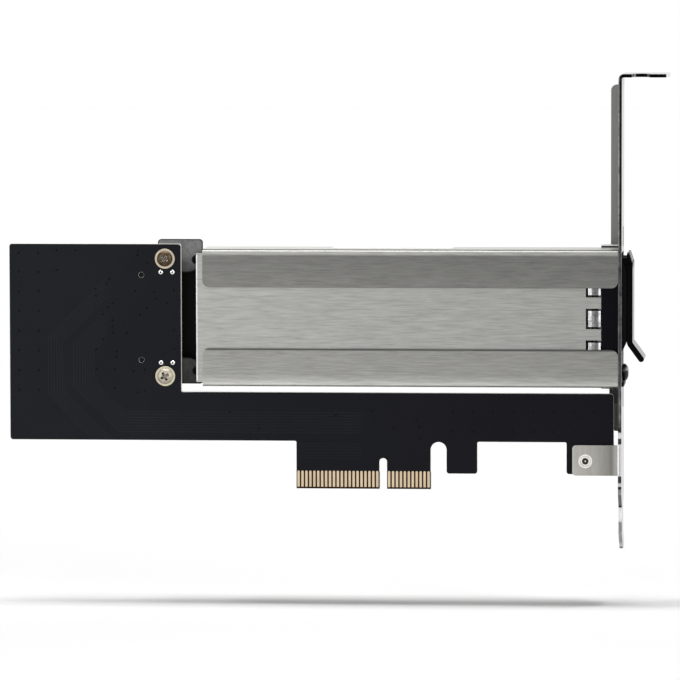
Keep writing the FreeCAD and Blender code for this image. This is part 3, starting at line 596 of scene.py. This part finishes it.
def makeCrossScrew(name, look, length, *finishes):  # head up, seated at the origin
    bpy.ops.mesh.primitive_cylinder_add(vertices=40, radius=look["head"], depth=look["rim"],
                                        location=(0, 0, look["rim"] / 2))
    screw = settle(bpy.context.object, name)
    openMesh(screw)
    chooseFaces(screw, lambda centre, normal: normal.z > 0.9)
    for inward, rise in look["steps"]:
        bpy.ops.mesh.inset(thickness=inward * mm)
        bpy.ops.transform.translate(value=(0, 0, rise * mm))
    chooseFaces(screw, lambda centre, normal: normal.z < -0.9)
    bpy.ops.mesh.inset(thickness=look["head"] - look["shank"])
    bpy.ops.mesh.extrude_region_move(TRANSFORM_OT_translate={"value": (0, 0, -length)})
    bpy.ops.mesh.inset(thickness=look["tip"])
    bpy.ops.transform.translate(value=(0, 0, -look["tipLength"]))
    closeMesh()
    top = look["rim"] + sum(rise for inward, rise in look["steps"]) * mm
    bpy.ops.mesh.primitive_cube_add(size=look["recess"], location=(0, 0, 0))
    cutter = bpy.context.object
    openMesh(cutter)
    chooseFaces(cutter, lambda centre, normal: abs(normal.z) < 0.5)
    bpy.ops.mesh.extrude_faces_move(TRANSFORM_OT_shrink_fatten={"value": look["arm"]})
    chooseFaces(cutter, lambda centre, normal: normal.z > 0.5)
    bpy.ops.mesh.extrude_region_move(TRANSFORM_OT_translate={"value": (0, 0, look["depth"] + mm)})
    chooseFaces(cutter, lambda centre, normal: normal.z < -0.5)
    bpy.ops.transform.resize(value=(look["taper"], look["taper"], 1), center_override=(0, 0, 0))
    closeMesh()
    bottom = top - look["depth"]
    cutter.location = (0, 0, bottom)
    settle(cutter, "crossCutter")
    cutWith(screw, cutter)
    softenEdges(screw, look["edgeWidth"], angle=50)
    coat(screw, *finishes)
    reach = look["recess"] / 2 + look["arm"]
    foot, rise = look["rim"] * look["wallFoot"], top - look["wallTop"]

    def inRecess(centre, normal):  # its steep walls and its floor, which take the second finish: painted shade, or a painted highlight on the upper board screw
        wall = foot < centre.z < rise and abs(normal.z) < 0.75
        return math.hypot(centre.x, centre.y) < reach and (
            wall or abs(centre.z - bottom) < look["floor"])

    paintFaces(screw, 1, inRecess)
    return screw


def seatScrew(screw, place, turn):
    screw.rotation_euler = turn
    screw.location = place
    return settle(screw, screw.name)


def makeBoardScrews(look):
    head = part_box("board_screws")
    x = (head[0].x + head[1].x) / 2
    radius = (head[1].x - head[0].x) / 2
    length = head[1].y - boardBox[0].y - look["clearance"]
    levels = (head[1].z - radius, head[0].z + radius)
    # the second finish goes into the cross: the bright foot steel as a painted highlight in the
    # upper screw, painted recess shade in the lower
    metals = ((bronzeFinish, footFinish), (screwFinish, recessShadeFinish))
    pads = (("upperPad", padFinish), ("lowerPad", palePadFinish))
    screws = []
    for z, spin, finishes, (padName, plating) in zip(levels, look["spins"], metals, pads):
        screw = makeCrossScrew("screwPart", look, length, *finishes)
        pickUp(screw)
        bpy.ops.transform.rotate(value=spin, orient_axis="Z", center_override=(0, 0, 0))
        settle(screw, "screwPart")
        screws.append(seatScrew(screw, (x, boardBox[0].y, z), (math.pi / 2, 0, 0)))
        makePad(padName, (x, boardBox[0].y, z), padLook, plating)
    both = joined(screws, "earScrews")
    standFor(both, "card", "board_screws", "board_screws")
    return x, levels


screwX, screwLevels = makeBoardScrews(screwLook)

solderLook = {
    "radius": 0.66 * mm, "corners": 20, "pit": 0.2 * mm, "pitFloor": 0.05 * mm,
    "rings": ((0.56, 0.2), (0.42, 0.13), (0.26, 0.05), (0.2, -0.16), (0.12, -0.06)),
    "spacing": 2.98 * mm, "inward": 3.4 * mm, "offset": 0.45 * mm, "smooth": 50,
    "tint": (0.88, 0.88, 0.87), "spots": (1400, 1400, 1400), "contrast": 0.1, "roughness": 0.2,
}
solderFinish = plainMetal("solder", solderLook)


def makeSolderDots(look):
    middleZ = (cageBox[0].z + cageBox[1].z) / 2
    dot = raiseDot("dotPart", look["radius"], look["corners"], look["rings"])
    coat(dot, solderFinish, recessShadeFinish)
    # painted shade in each dot's pit
    paintFaces(dot, 1, lambda centre, normal: math.hypot(centre.x, centre.z) < look["pit"]
               and centre.y < boardBox[0].y - look["pitFloor"])
    dots = []
    for level in screwLevels:
        side = -1 if level > middleZ else 1
        for along in (-0.5, 0.5):
            x = screwX + look["offset"] + along * look["spacing"]
            dots.append(copyTo(dot, (x, 0, level + side * look["inward"])))
    bpy.data.objects.remove(dot)
    dots = joined(dots, "solderDots")
    pickUp(dots)
    bpy.ops.object.shade_smooth_by_angle(angle=math.radians(look["smooth"]))
    standFor(dots, "card", "board_screws")


makeSolderDots(solderLook)
print("fasteners ready")

# vias: small filled barrels with a dimple, in the columns and scatter that such a board has

viaLook = {
    "radius": 0.26 * mm, "corners": 12, "rings": ((0.2, 0.025), (0.12, -0.01)),
    "tint": (0.0032, 0.0034, 0.0042), "pores": 3000, "roughness": 0.5, "shine": 0.05,
    "columns": [(-92.7, (59.6, 54.8, 49.8, 44.8, 39.8, 34.8, 29.8, 24.8)),
                (-87.7, (59.6, 54.8, 49.8, 44.8, 39.8, 34.8, 29.8, 24.8)),
                (-53.1, (50.3, 40.2, 35.3, 29.9)), (-60.6, (30.0, 24.6))],
    "strip": (17.6, 22.7, 27.8, 32.9, 38.0, 43.1, 48.2, 53.5), "stripLevels": (19.8, 14.7),
    "loose": [(-83.0, 60.3), (-78.2, 60.3), (-83.0, 55.3), (-73.2, 50.6), (-73.0, 48.8),
              (-70.3, 51.9), (-69.5, 53.0), (-68.8, 46.8), (-70.0, 45.8), (-71.2, 44.1),
              (-68.8, 42.6), (-68.8, 41.0), (-68.7, 39.4), (-71.1, 37.7), (-73.0, 35.2),
              (-73.0, 30.2), (-68.3, 30.1), (-68.3, 25.3), (-67.8, 34.6), (-67.8, 33.3),
              (-65.0, 39.3), (-62.9, 50.0), (-58.2, 49.7), (-57.6, 48.1), (-54.9, 47.0),
              (-60.0, 45.7), (-61.8, 43.9), (-63.6, 29.7), (-62.4, 24.3), (-62.2, 60.3),
              (-62.4, 59.1), (-59.8, 57.2), (-2.8, 19.8), (2.8, 15.5), (8.4, 17.8),
              (9.2, 15.7), (9.2, 12.9), (-39.0, 19.3), (-31.5, 15.2), (-12.0, 18.6)],
}


def makeVias(look):
    finish = mouldedPlastic("viaLacquer", look)
    places = [(x, z) for x, levels in look["columns"] for z in levels]
    places += [(x, z) for z in look["stripLevels"] for x in look["strip"]] + look["loose"]
    via = raiseDot("viaPart", look["radius"], look["corners"], look["rings"])
    coat(via, finish)
    vias = joined([copyTo(via, (x * mm, 0, z * mm)) for x, z in places], "boardVias")
    bpy.data.objects.remove(via)
    standFor(vias, "card", "circuit_board")


makeVias(viaLook)
print("vias ready")

# cage

cageLook = {
    "tint": (0.371, 0.369, 0.350), "contrast": 0.2, "roughness": 0.34, "bump": 0.3,
    # along: painted light falloff from the rear end to the bracket end
    "streaks": (200, 2800, 3200), "along": (-47.4 * mm, 54.8 * mm, 1.13, 0.9),
    # edge: cut edges painted much lighter than the sheet, as a painted highlight
    "edge": {"tint": (0.80, 0.80, 0.78), "spots": (600, 600, 600), "contrast": 0.15,
             "roughness": 0.3},
    "edgeWidth": 0.17 * mm,
    # paintedLipTones: painted light and shade by height: darker lips, bright bands at both bends, a
    # painted shadow line where the lid meets the lower lip and a dark line at the top
    "paintedLipTones": [(0.0, 0.7), (0.018, 1.6), (0.045, 1.1), (0.09, 0.83), (0.262, 0.78), (0.272, 0.08),
             (0.28, 0.78), (0.70, 0.56), (0.95, 0.47), (0.957, 0.58), (0.964, 0.93), (0.971, 1.05),
             (0.978, 1.0), (0.9857, 0.95), (0.993, 0.32), (1.0, 0.4)],
    # paintedWallLight: the walls behind the lips painted lighter, as a painted highlight on the lit
    # top
    "lipDepth": (0.8 * mm, 1.6 * mm), "paintedWallLight": (1.4, 1.4, 1.4),
}


def cageLipLightAndShade(tree):  # painted light and shade: tone by height on the near lips, and a lighter tone on the walls behind them
    level = span(tree, axisOf(tree, "Z"), cageBox[0].z, cageBox[1].z)
    tone = ramp(tree, level, cageLook["paintedLipTones"])
    near, far = (cageBox[0].y + depth for depth in cageLook["lipDepth"])
    return blendColours(tree, span(tree, axisOf(tree, "Y"), near, far), tone, cageLook["paintedWallLight"])


def makeCage(look):
    cage = copyOfNode("cage", "cageShell")
    coat(cage, cageFinish, edgeHighlightFinish)
    softenEdges(cage, look["edgeWidth"], angle=50)
    standFor(cage, "card", "cage", "cage")


cageFinish = sheetSteel("cageSteel", cageLook, cageLipLightAndShade)
edgeHighlightFinish = plainMetal("sheetEdgeHighlight", cageLook["edge"])
makeCage(cageLook)

labelLook = {"tint": (0.80, 0.80, 0.79), "pores": 900, "roughness": 0.5, "shine": 0.3}
coat(frame["nodes"]["label"], mouldedPlastic("labelPaper", labelLook))
print("cage ready")

# slot bracket

bracketLook = {
    "tint": (0.222, 0.226, 0.215), "contrast": 0.06, "roughness": 0.36, "bump": 0.1,
    "streaks": (900, 900, 260),
    # a lighter copy of the bracket steel for its outer and top faces and softened edges: painted
    # light
    "outer": {"tint": (0.50, 0.50, 0.50), "spots": (300, 300, 120), "contrast": 0.06,
              "roughness": 0.28},
    "tab": {"tint": (0.40, 0.39, 0.36), "contrast": 0.12, "roughness": 0.3, "bump": 0.15,
            "streaks": (900, 900, 90),
            # painted light and shade along X: lighter at the tab's free end and at its fold, darker
            # towards the plate
            "paintedTones": [(47.9, 1.3), (48.4, 1.05), (53.0, 0.92), (56.5, 0.66), (57.8, 0.5),
                      (58.6, 0.9)]},
    # ears: light near faces, with a painted shadow line where the upper ear lies on the cage's top
    "ears": {"axis": "Z", "bands": [(60.5, 0.7), (60.82, 0.75), (60.85, 0.003), (61.28, 0.003),
                                    (61.31, 0.75), (61.7, 0.7)],
             "spots": (600, 600, 600), "contrast": 0.1, "roughness": 0.35},
    "earOffset": 0.43 * mm, "earReach": 0.6 * mm,
    "flange": (99.6 * mm, 101.4 * mm), "flangeLift": 0.6 * mm, "edgeWidth": 0.09 * mm,
    "fold": 0.2 * mm, "tabTop": 12 * mm, "tabDepth": 0.1 * mm, "cutTop": 13 * mm,
    "burrDepth": 0.3 * mm, "burrRadius": 1.85 * mm, "gapRadius": 1.36 * mm,
    "sheared": {
        # painted highlight next to the plate and painted shade across the rest of the edge, by zone
        "upper": [(0.0, 0.29), (0.2, 0.24), (0.34, 0.035), (0.6, 0.012), (1.0, 0.003)],
        "mouth": [(0.0, 0.10), (0.25, 0.10), (0.45, 0.05), (0.65, 0.025), (0.82, 0.12),
                  (1.0, 0.13)],
        "lower": [(0.0, 0.09), (0.25, 0.06), (0.5, 0.19), (0.72, 0.05), (1.0, 0.13)],
        "patches": [(-15.1, 0.62), (-14.2, 0.60), (-13.3, 0.30), (-8.4, 0.27), (-8.2, 0.78),
                    (-4.7, 0.80), (-4.6, 0.012), (-4.0, 0.015), (-3.9, 0.22), (-1.8, 0.33),
                    (0.3, 0.19), (0.45, 0.01), (0.95, 0.01), (1.1, 0.62), (1.8, 0.60),
                    (2.0, 0.05), (3.5, 0.05), (3.8, 0.6), (11.6, 0.65), (11.8, 0.03),
                    (13.1, 0.05), (13.3, 0.62), (14.6, 0.55), (14.8, 0.02), (16.0, 0.04),
                    (20.0, 0.04)],
        "patchTop": (15.9 * mm, 16.3 * mm), "thickness": 0.86 * mm, "blend": 0.3 * mm,
        "spots": (900, 900, 520), "roughness": 0.4,
    },
}


def shearedSteel(name, look):  # a painted highlight in a line next to the plate and painted shade across the rest of the edge, with bands near the cage's top and bottom and light and dark patches down the tongue, all under the steel's mottle
    finish, tree, shader = startFinish(name)
    inner, up = cageBox[1].x, axisOf(tree, "Z")
    across = span(tree, axisOf(tree, "X"), inner, inner + look["thickness"])
    mottle = grain(tree, placeOn(tree, look["spots"]), 4, 0.7)
    band = ramp(tree, across, look["lower"])
    for level, zone in ((cageBox[0].z, "mouth"), (cageBox[1].z + mm, "upper")):
        band = blendColours(tree, span(tree, up, level - look["blend"], level + look["blend"]),
                            band, ramp(tree, across, look[zone]))
    band = times(tree, band, ramp(tree, mottle, [(0.36, 0.5), (0.5, 1.0), (0.64, 1.6)]))
    patches = times(tree, bandsAlong(tree, "Z", look["patches"]),
                    ramp(tree, mottle, [(0.3, 0.7), (0.7, 1.15)]))
    steel = blendColours(tree, span(tree, up, *look["patchTop"]), patches, band)
    tree.links.new(steel, shader.inputs["Base Color"])
    unevenGloss(tree, shader, mottle, look["roughness"], 0.08, 0.12)
    shader.inputs["Metallic"].default_value = 1
    roughenBy(tree, shader, mottle, 0.3, 0.03 * mm)
    return finish


bracketFinish = sheetSteel("bracketSteel", bracketLook)
shearedFinish = shearedSteel("shearedEdge", bracketLook["sheared"])
outerFinish = plainMetal("bracketLitFace", bracketLook["outer"])
tabFinish = sheetSteel("bracketTab", bracketLook["tab"],
                       lambda tree: bandsAlong(tree, "X", bracketLook["tab"]["paintedTones"]))
earGapShadowFinish = paintedBandSteel("earGapShadow", bracketLook["ears"])


def makeBracket(look):
    bracket = copyOfNode("bracket", "slotBracket")
    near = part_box("bracket")[0].y
    plateX = cageBox[1].x
    foldX = plateX - look["fold"]
    foot = (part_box("foot_screw")[0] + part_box("foot_screw")[1]) / 2
    coat(bracket, bracketFinish, shearedFinish, outerFinish, tabFinish, earGapShadowFinish, footFinish,
         recessShadeFinish)
    sheared, outer, tab, gapShadow, burr, gap = range(1, 7)  # the finishes after the first
    openMesh(bracket)
    flangeLow, flangeHigh = look["flange"]
    chooseEdges(bracket, lambda first, second: min(first.z, second.z) > flangeLow
                and max(first.z, second.z) < flangeHigh)
    bpy.ops.transform.translate(value=(0, 0, look["flangeLift"]))
    closeMesh()
    # the outer and top faces take the lighter copy, painted light
    paintFaces(bracket, outer, lambda centre, normal: normal.x > 0.7 and centre.x > plateX
               or abs(normal.z) > 0.9)
    paintFaces(bracket, sheared, lambda centre, normal: normal.y < -0.8 and centre.x > foldX)
    paintFaces(bracket, tab, lambda centre, normal: centre.z < look["tabTop"] and centre.x < foldX
               and centre.y < boardBox[0].y + look["tabDepth"])
    softenEdges(bracket, look["edgeWidth"], segments=1, angle=50, slotNumber=outer)
    paintFaces(bracket, sheared, lambda centre, normal: normal.x < -0.25 and centre.x < plateX - mm
               and centre.z > look["cutTop"])
    # the ears' near faces, with a painted shadow line under the upper ear
    for level in (cageBox[0].z - look["earOffset"], cageBox[1].z + look["earOffset"]):
        paintFaces(bracket, gapShadow, lambda centre, normal: normal.y < -0.8 and centre.x < foldX
                   and abs(centre.z - level) < look["earReach"])
    # a light burred ring round the foot screw's hole, and painted shade on the hole's wall
    for slotNumber, reach, facing in ((burr, look["burrRadius"], 2), (gap, look["gapRadius"], 0.9)):
        paintFaces(bracket, slotNumber, lambda centre, normal: centre.y < near + look["burrDepth"]
                   and math.hypot(centre.x - foot.x, centre.z - foot.z) < reach
                   and abs(normal.y) < facing)
    standFor(bracket, "card", "bracket", "bracket")


makeBracket(bracketLook)
print("bracket ready")

# tray: floor, lid, hinge

lidLook = {
    "tint": (0.371, 0.371, 0.352), "contrast": 0.2, "roughness": 0.33, "bump": 0.35,
    # along: painted light falloff from the rear end to the bracket end
    "streaks": (180, 2800, 2800), "along": (-47.4 * mm, 54.8 * mm, 1.156, 0.881),
    "edgeWidth": 0.12 * mm, "rearRound": 0.45 * mm,
    # bright: a painted highlight on the lid's rounded rear edge
    "bright": {"tint": (0.70, 0.70, 0.71), "spots": (500, 500, 500), "contrast": 0.06,
               "roughness": 0.25},
}


def makeLid(look):
    lid = copyOfNode("tray_lid", "lidPlate")
    coat(lid, sheetSteel("lidSteel", look), edgeHighlightFinish,
         plainMetal("lidEdgeHighlight", look["bright"]))
    rear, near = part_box("tray_lid")[0].x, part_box("tray_lid")[0].y
    openMesh(lid)
    chooseEdges(lid, lambda first, second:
                max(abs(first.x - rear), abs(second.x - rear)) < hair
                and max(abs(first.y - near), abs(second.y - near)) < hair)
    # the rounded rear edge takes the bright finish, a painted highlight
    bpy.ops.mesh.bevel(offset=look["rearRound"], segments=3, affect="EDGES", material=2)
    closeMesh()
    # the softened edges take the lighter edge finish, a painted highlight
    softenEdges(lid, look["edgeWidth"], angle=60, slotNumber=1)
    standFor(lid, "tray", "tray_lid", "tray_lid")


makeLid(lidLook)

trayLook = {"tint": (0.33, 0.33, 0.315), "contrast": 0.14, "roughness": 0.36, "bump": 0.2,
            "streaks": (75, 1500, 1700)}
coat(frame["nodes"]["tray_base"], sheetSteel("traySteel", trayLook))

knuckleLook = {
    "height": 4.0 * mm, "depth": 0.7 * mm, "round": 0.3 * mm, "edgeWidth": 0.08 * mm,
    # painted highlights on both sides of each knuckle and painted shade between them
    "axis": "X", "bands": [(51.6, 0.8), (52.55, 0.82), (52.75, 0.3), (53.6, 0.16), (54.3, 0.2),
                           (54.5, 0.8), (55.1, 0.8)],
    "spots": (900, 900, 900), "contrast": 0.5, "roughness": 0.25,
}


def makeKnuckles(look):  # rolled fingers, pressed flush with the lid
    low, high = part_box("hinge_leaf")
    leaf = copyOfNode("hinge_leaf", "hingeLeaf")
    half = look["height"] / 2
    x, y = (low.x + high.x) / 2, low.y + look["depth"] / 2
    for level in (low.z + half, (low.z + high.z) / 2, high.z - half):
        bpy.ops.mesh.primitive_cube_add(size=1, location=(x, y, level),
                                        scale=(high.x - low.x, look["depth"], look["height"]))
        front = settle(bpy.context.object, "knuckleFront")
        openMesh(front)
        chooseEdges(front, lambda first, second: max(first.y, second.y) < low.y + hair
                    and abs(first.x - second.x) < hair)
        bpy.ops.mesh.bevel(offset=look["round"], segments=3, affect="EDGES")
        closeMesh()
        cutWith(leaf, front, "UNION")
    softenEdges(leaf, look["edgeWidth"], angle=50)
    coat(leaf, paintedBandSteel("knuckleLightAndShade", look))
    standFor(leaf, "tray", "hinge_leaf", "hinge_leaf")


makeKnuckles(knuckleLook)

pinLook = {"tint": (0.02, 0.02, 0.021), "spots": (400, 400, 1800), "contrast": 0.4,
           "roughness": 0.35}
coat(frame["nodes"]["hinge_pin"], plainMetal("pinSteel", pinLook))
print("tray ready")

# bezel and lever

bezelLook = {"tint": (0.0036, 0.0036, 0.0058), "pores": 1800, "roughness": 0.38, "shine": 0.045,
             "edgeWidth": 0.12 * mm}


def makeBezel(look):
    bezel = copyOfNode("bezel", "bezelFront")
    coat(bezel, mouldedPlastic("bezelPlastic", look))
    softenEdges(bezel, look["edgeWidth"])
    standFor(bezel, "tray", "bezel", "bezel")


makeBezel(bezelLook)

leverLook = {
    "tint": (0.0016, 0.0016, 0.0020), "pores": 2400, "roughness": 0.3, "shine": 0.03,
    # paintedSheen: a lighter, shinier copy of the black coat, painted sheen
    "paintedSheen": {"tint": (0.012, 0.012, 0.013), "pores": 2400, "roughness": 0.2, "shine": 0.45,
              "bump": 0.05},
    "edgeWidth": 0.1 * mm,
}


def makeLever(look):  # a lighter, shinier copy of the coat where it faces out of the slot or up: painted sheen
    lever = copyOfNode("lever", "leverPlate")
    leverFinish = mouldedPlastic("leverCoat", look)
    coat(lever, leverFinish, mouldedPlastic("leverPaintedSheen", look["paintedSheen"]))
    paintFaces(lever, 1, lambda centre, normal: normal.x > 0.3 and abs(normal.y) < 0.5
               or normal.z > 0.5)
    softenEdges(lever, look["edgeWidth"])
    standFor(lever, "lever", "lever", "lever")
    coat(frame["nodes"]["lever_pin"], leverFinish)


makeLever(leverLook)

blackScrewLook = dict(
    screwLook, head=2.2 * mm, rim=0.6 * mm, steps=((0.25, 0.3), (0.4, 0.3), (0.5, 0.2)),
    recess=0.5 * mm, arm=0.7 * mm, depth=0.85 * mm,
    black={"tint": (0.02, 0.02, 0.022), "spots": (900, 900, 900), "contrast": 0.3,
           "roughness": 0.3},
    # topSheen: a lighter copy of the black steel for the head's upper side, a painted highlight
    topSheen={"tint": (0.14, 0.14, 0.15), "spots": (900, 900, 900), "contrast": 0.2, "roughness": 0.4},
    topSheenDepth=0.3 * mm, topSheenRise=0.5 * mm)


def makeBezelScrew(look):
    low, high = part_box("bezel_screw")
    seat = high.x - (look["rim"] + sum(rise for inward, rise in look["steps"]) * mm)
    screw = makeCrossScrew("bezelScrew", look, seat - low.x - look["clearance"],
                           plainMetal("blackScrew", look["black"]), recessShadeFinish)
    middle = (low + high) / 2
    seatScrew(screw, (seat, middle.y, middle.z), (0, math.pi / 2, 0))
    # painted highlight on the upper side of the head
    screw.data.materials.append(plainMetal("blackTopSheen", look["topSheen"]))
    paintFaces(screw, 2, lambda centre, normal: centre.x > seat - look["topSheenDepth"]
               and centre.z > middle.z + look["topSheenRise"] and normal.z > 0.05)
    standFor(screw, "tray", "bezel_screw", "bezel_screw")


makeBezelScrew(blackScrewLook)
print("bezel and lever ready")

# foot screw: the end of the screw inside its burred hole

footScrewLook = {
    "rim": 0.42 * mm, "sink": 0.5 * mm, "moat": 0.58 * mm, "stub": 0.4 * mm,
    "edgeWidth": 0.06 * mm, "stubRadius": 0.19 * mm, "moatRadius": 0.86 * mm,
}


def makeFootScrew(look):
    low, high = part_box("foot_screw")
    middle = (low + high) / 2
    screw = copyOfNode("foot_screw", "footScrew")
    coat(screw, footFinish, recessShadeFinish)
    openMesh(screw)
    chooseFaces(screw, lambda centre, normal: normal.y < -0.9 and centre.y < middle.y)
    bpy.ops.mesh.inset(thickness=look["rim"])
    bpy.ops.mesh.extrude_region_move(TRANSFORM_OT_translate={"value": (0, look["sink"], 0)})
    bpy.ops.mesh.inset(thickness=look["moat"])
    bpy.ops.mesh.extrude_region_move(TRANSFORM_OT_translate={"value": (0, -look["stub"], 0)})
    closeMesh()
    softenEdges(screw, look["edgeWidth"], angle=50)

    def inMoat(centre, normal):
        away = math.hypot(centre.x - middle.x, centre.z - middle.z)
        return centre.y < boardBox[0].y and look["stubRadius"] < away < look["moatRadius"]

    # painted shade in the sunk ring round the screw's stub
    paintFaces(screw, 1, inMoat)
    standFor(screw, "card", "foot_screw", "foot_screw")


makeFootScrew(footScrewLook)
print("foot screw ready")

# parts behind the board, dock and inside of the tray

partLooks = {
    "dock_housing": {"tint": (0.0038, 0.0042, 0.0050), "pores": 1500, "roughness": 0.5,
                     "shine": 0.1},
    "drive_socket": {"tint": (0.0035, 0.0048, 0.0058), "pores": 1800, "roughness": 0.42,
                     "shine": 0.12},
    "inductor": {"tint": (0.055, 0.056, 0.058), "pores": 700, "roughness": 0.55, "shine": 0.3},
    "regulator": {"tint": (0.02, 0.02, 0.021), "pores": 2200, "roughness": 0.5, "shine": 0.3},
    "capacitor_bodies": {"tint": (0.24, 0.17, 0.105), "pores": 1600, "roughness": 0.45,
                         "shine": 0.35},
    "thermal_pad": {"tint": (0.24, 0.33, 0.42), "pores": 1200, "roughness": 0.7, "shine": 0.2},
    "light_pipe": {"tint": (0.016, 0.016, 0.017), "pores": 900, "roughness": 0.3, "shine": 0.2},
}
for nodeName, look in partLooks.items():
    coat(frame["nodes"][nodeName], mouldedPlastic(nodeName + "Finish", look))

earLook = {
    # painted shade: the ears darkest at the bottom and lighter towards the top
    "axis": "Z", "bands": [(26.4, 0.03), (33.0, 0.045), (54.7, 0.055), (56.5, 0.075), (58.5, 0.12),
                           (60.5, 0.16), (63.1, 0.17)],
    "spots": (700, 700, 700), "contrast": 0.25, "roughness": 0.34,
    "border": 0.24 * mm, "borderTint": (0.022, 0.022, 0.023),
}


def makeEars(look):
    ears = copyOfNode("mounting_ears", "cageEars")
    coat(ears, paintedBandSteel("earShade", look),
         plainMetal("earBorder", dict(look, tint=look["borderTint"])))
    paintFaces(ears, 1, lambda centre, normal: abs(normal.y) < 0.9)
    openMesh(ears)
    chooseFaces(ears, lambda centre, normal: normal.y < -0.9)
    ears.active_material_index = 1
    bpy.ops.object.material_slot_assign()
    bpy.ops.mesh.inset(thickness=look["border"])
    ears.active_material_index = 0
    bpy.ops.object.material_slot_assign()
    closeMesh()
    smoothFlat(ears)
    standFor(ears, "card", "mounting_ears", "mounting_ears")


makeEars(earLook)

postLook = {"tint": (0.56, 0.43, 0.22), "spots": (600, 600, 1500), "contrast": 0.12,
            "roughness": 0.3}
coat(frame["nodes"]["drive_post"], plainMetal("brassPost", postLook))
coat(frame["nodes"]["capacitor_ends"], solderFinish)
coat(frame["nodes"]["socket_contacts"], contactFinish)
coat(frame["nodes"]["drive_screw"], screwFinish)
print("hidden parts ready")

# studio: floor, lamps, world, camera

floorLook = {"level": -29.7 * mm, "size": 9.0, "shade": 0.8}
lampLooks = [
    {"strength": 0.88, "spread": 14, "towards": {
        "topLamp": (0, 0.02, -1), "topLeftLamp": (0.36, 0.02, -1),
        "topRightLamp": (-0.36, 0.02, -1)}},
    {"strength": 0.85, "spread": 40, "towards": {
        "frontLeftLamp": (0.82, 0.57, -0.17), "frontRightLamp": (-0.82, 0.57, -0.17),
        "backLeftLamp": (0.82, -0.57, -0.17), "backRightLamp": (-0.82, -0.57, -0.17)}},
]
skyLook = {"light": 0.25}


def makeFloor(look):
    bpy.ops.mesh.primitive_grid_add(x_subdivisions=4, y_subdivisions=4, size=look["size"],
                                    location=(0, 0, look["level"]))
    floor = settle(bpy.context.object, "studioFloor")
    finish, tree, shader = startFinish("floorPaint")
    shade = look["shade"]
    cloud = grain(tree, placeOn(tree, (2, 2, 2)), 2, 0.5)
    paint = ramp(tree, cloud, [(0.3, shade), (0.7, shade + 0.01)])
    tree.links.new(paint, shader.inputs["Base Color"])
    shader.inputs["Roughness"].default_value = 1
    shader.inputs["Specular IOR Level"].default_value = 0
    coat(floor, finish)


def makeLamp(name, strength, spread, towards):
    bpy.ops.object.light_add(type="SUN", location=(0, 0, 1))
    lamp = bpy.context.object
    lamp.name = name
    lamp.data.energy = strength
    lamp.data.angle = math.radians(spread)
    lamp.rotation_euler = Vector(towards).to_track_quat("-Z", "Y").to_euler()


def makeSky(look):  # white where it is seen or mirrored, plainer where it only lights
    world = bpy.data.worlds.new("studioSky")
    bpy.context.scene.world = world
    world.use_nodes = True
    tree = world.node_tree
    back = tree.nodes["Background"]
    back.inputs["Color"].default_value = (1, 1, 1, 1)
    path = tree.nodes.new("ShaderNodeLightPath")
    seen = path.outputs["Is Camera Ray"]
    for ray in ("Is Glossy Ray", "Is Transmission Ray"):
        seen = reckon(tree, "MAXIMUM", seen, path.outputs[ray])
    tree.links.new(span(tree, seen, 0, 1, look["light"], 1), back.inputs["Strength"])


cameraLook = {"target": (-10.97 * mm, 0, 37.7 * mm), "distance": 1.4, "azimuth": 5.0,
              "elevation": 4.0, "roll": -0.12, "lens": 293.1, "sensor": 36}


def makeCamera(look):
    azimuth, elevation = math.radians(look["azimuth"]), math.radians(look["elevation"])
    back = Vector((math.sin(azimuth) * math.cos(elevation),
                   -math.cos(azimuth) * math.cos(elevation), math.sin(elevation)))
    bpy.ops.object.camera_add(location=Vector(look["target"]) + back * look["distance"])
    camera = bpy.context.object
    camera.name = "studioCamera"
    camera.data.lens = look["lens"]
    camera.data.sensor_width = look["sensor"]
    facing = (-back).to_track_quat("-Z", "Y")
    turned = facing.to_matrix() @ Matrix.Rotation(math.radians(look["roll"]), 3, "Z")
    camera.rotation_euler = turned.to_euler()
    bpy.context.scene.camera = camera


letGo()
makeFloor(floorLook)
for look in lampLooks:
    for lampName, towards in look["towards"].items():
        makeLamp(lampName, look["strength"], look["spread"], towards)
makeSky(skyLook)
makeCamera(cameraLook)
bpy.context.scene.view_settings.view_transform = "Standard"
print("studio ready")
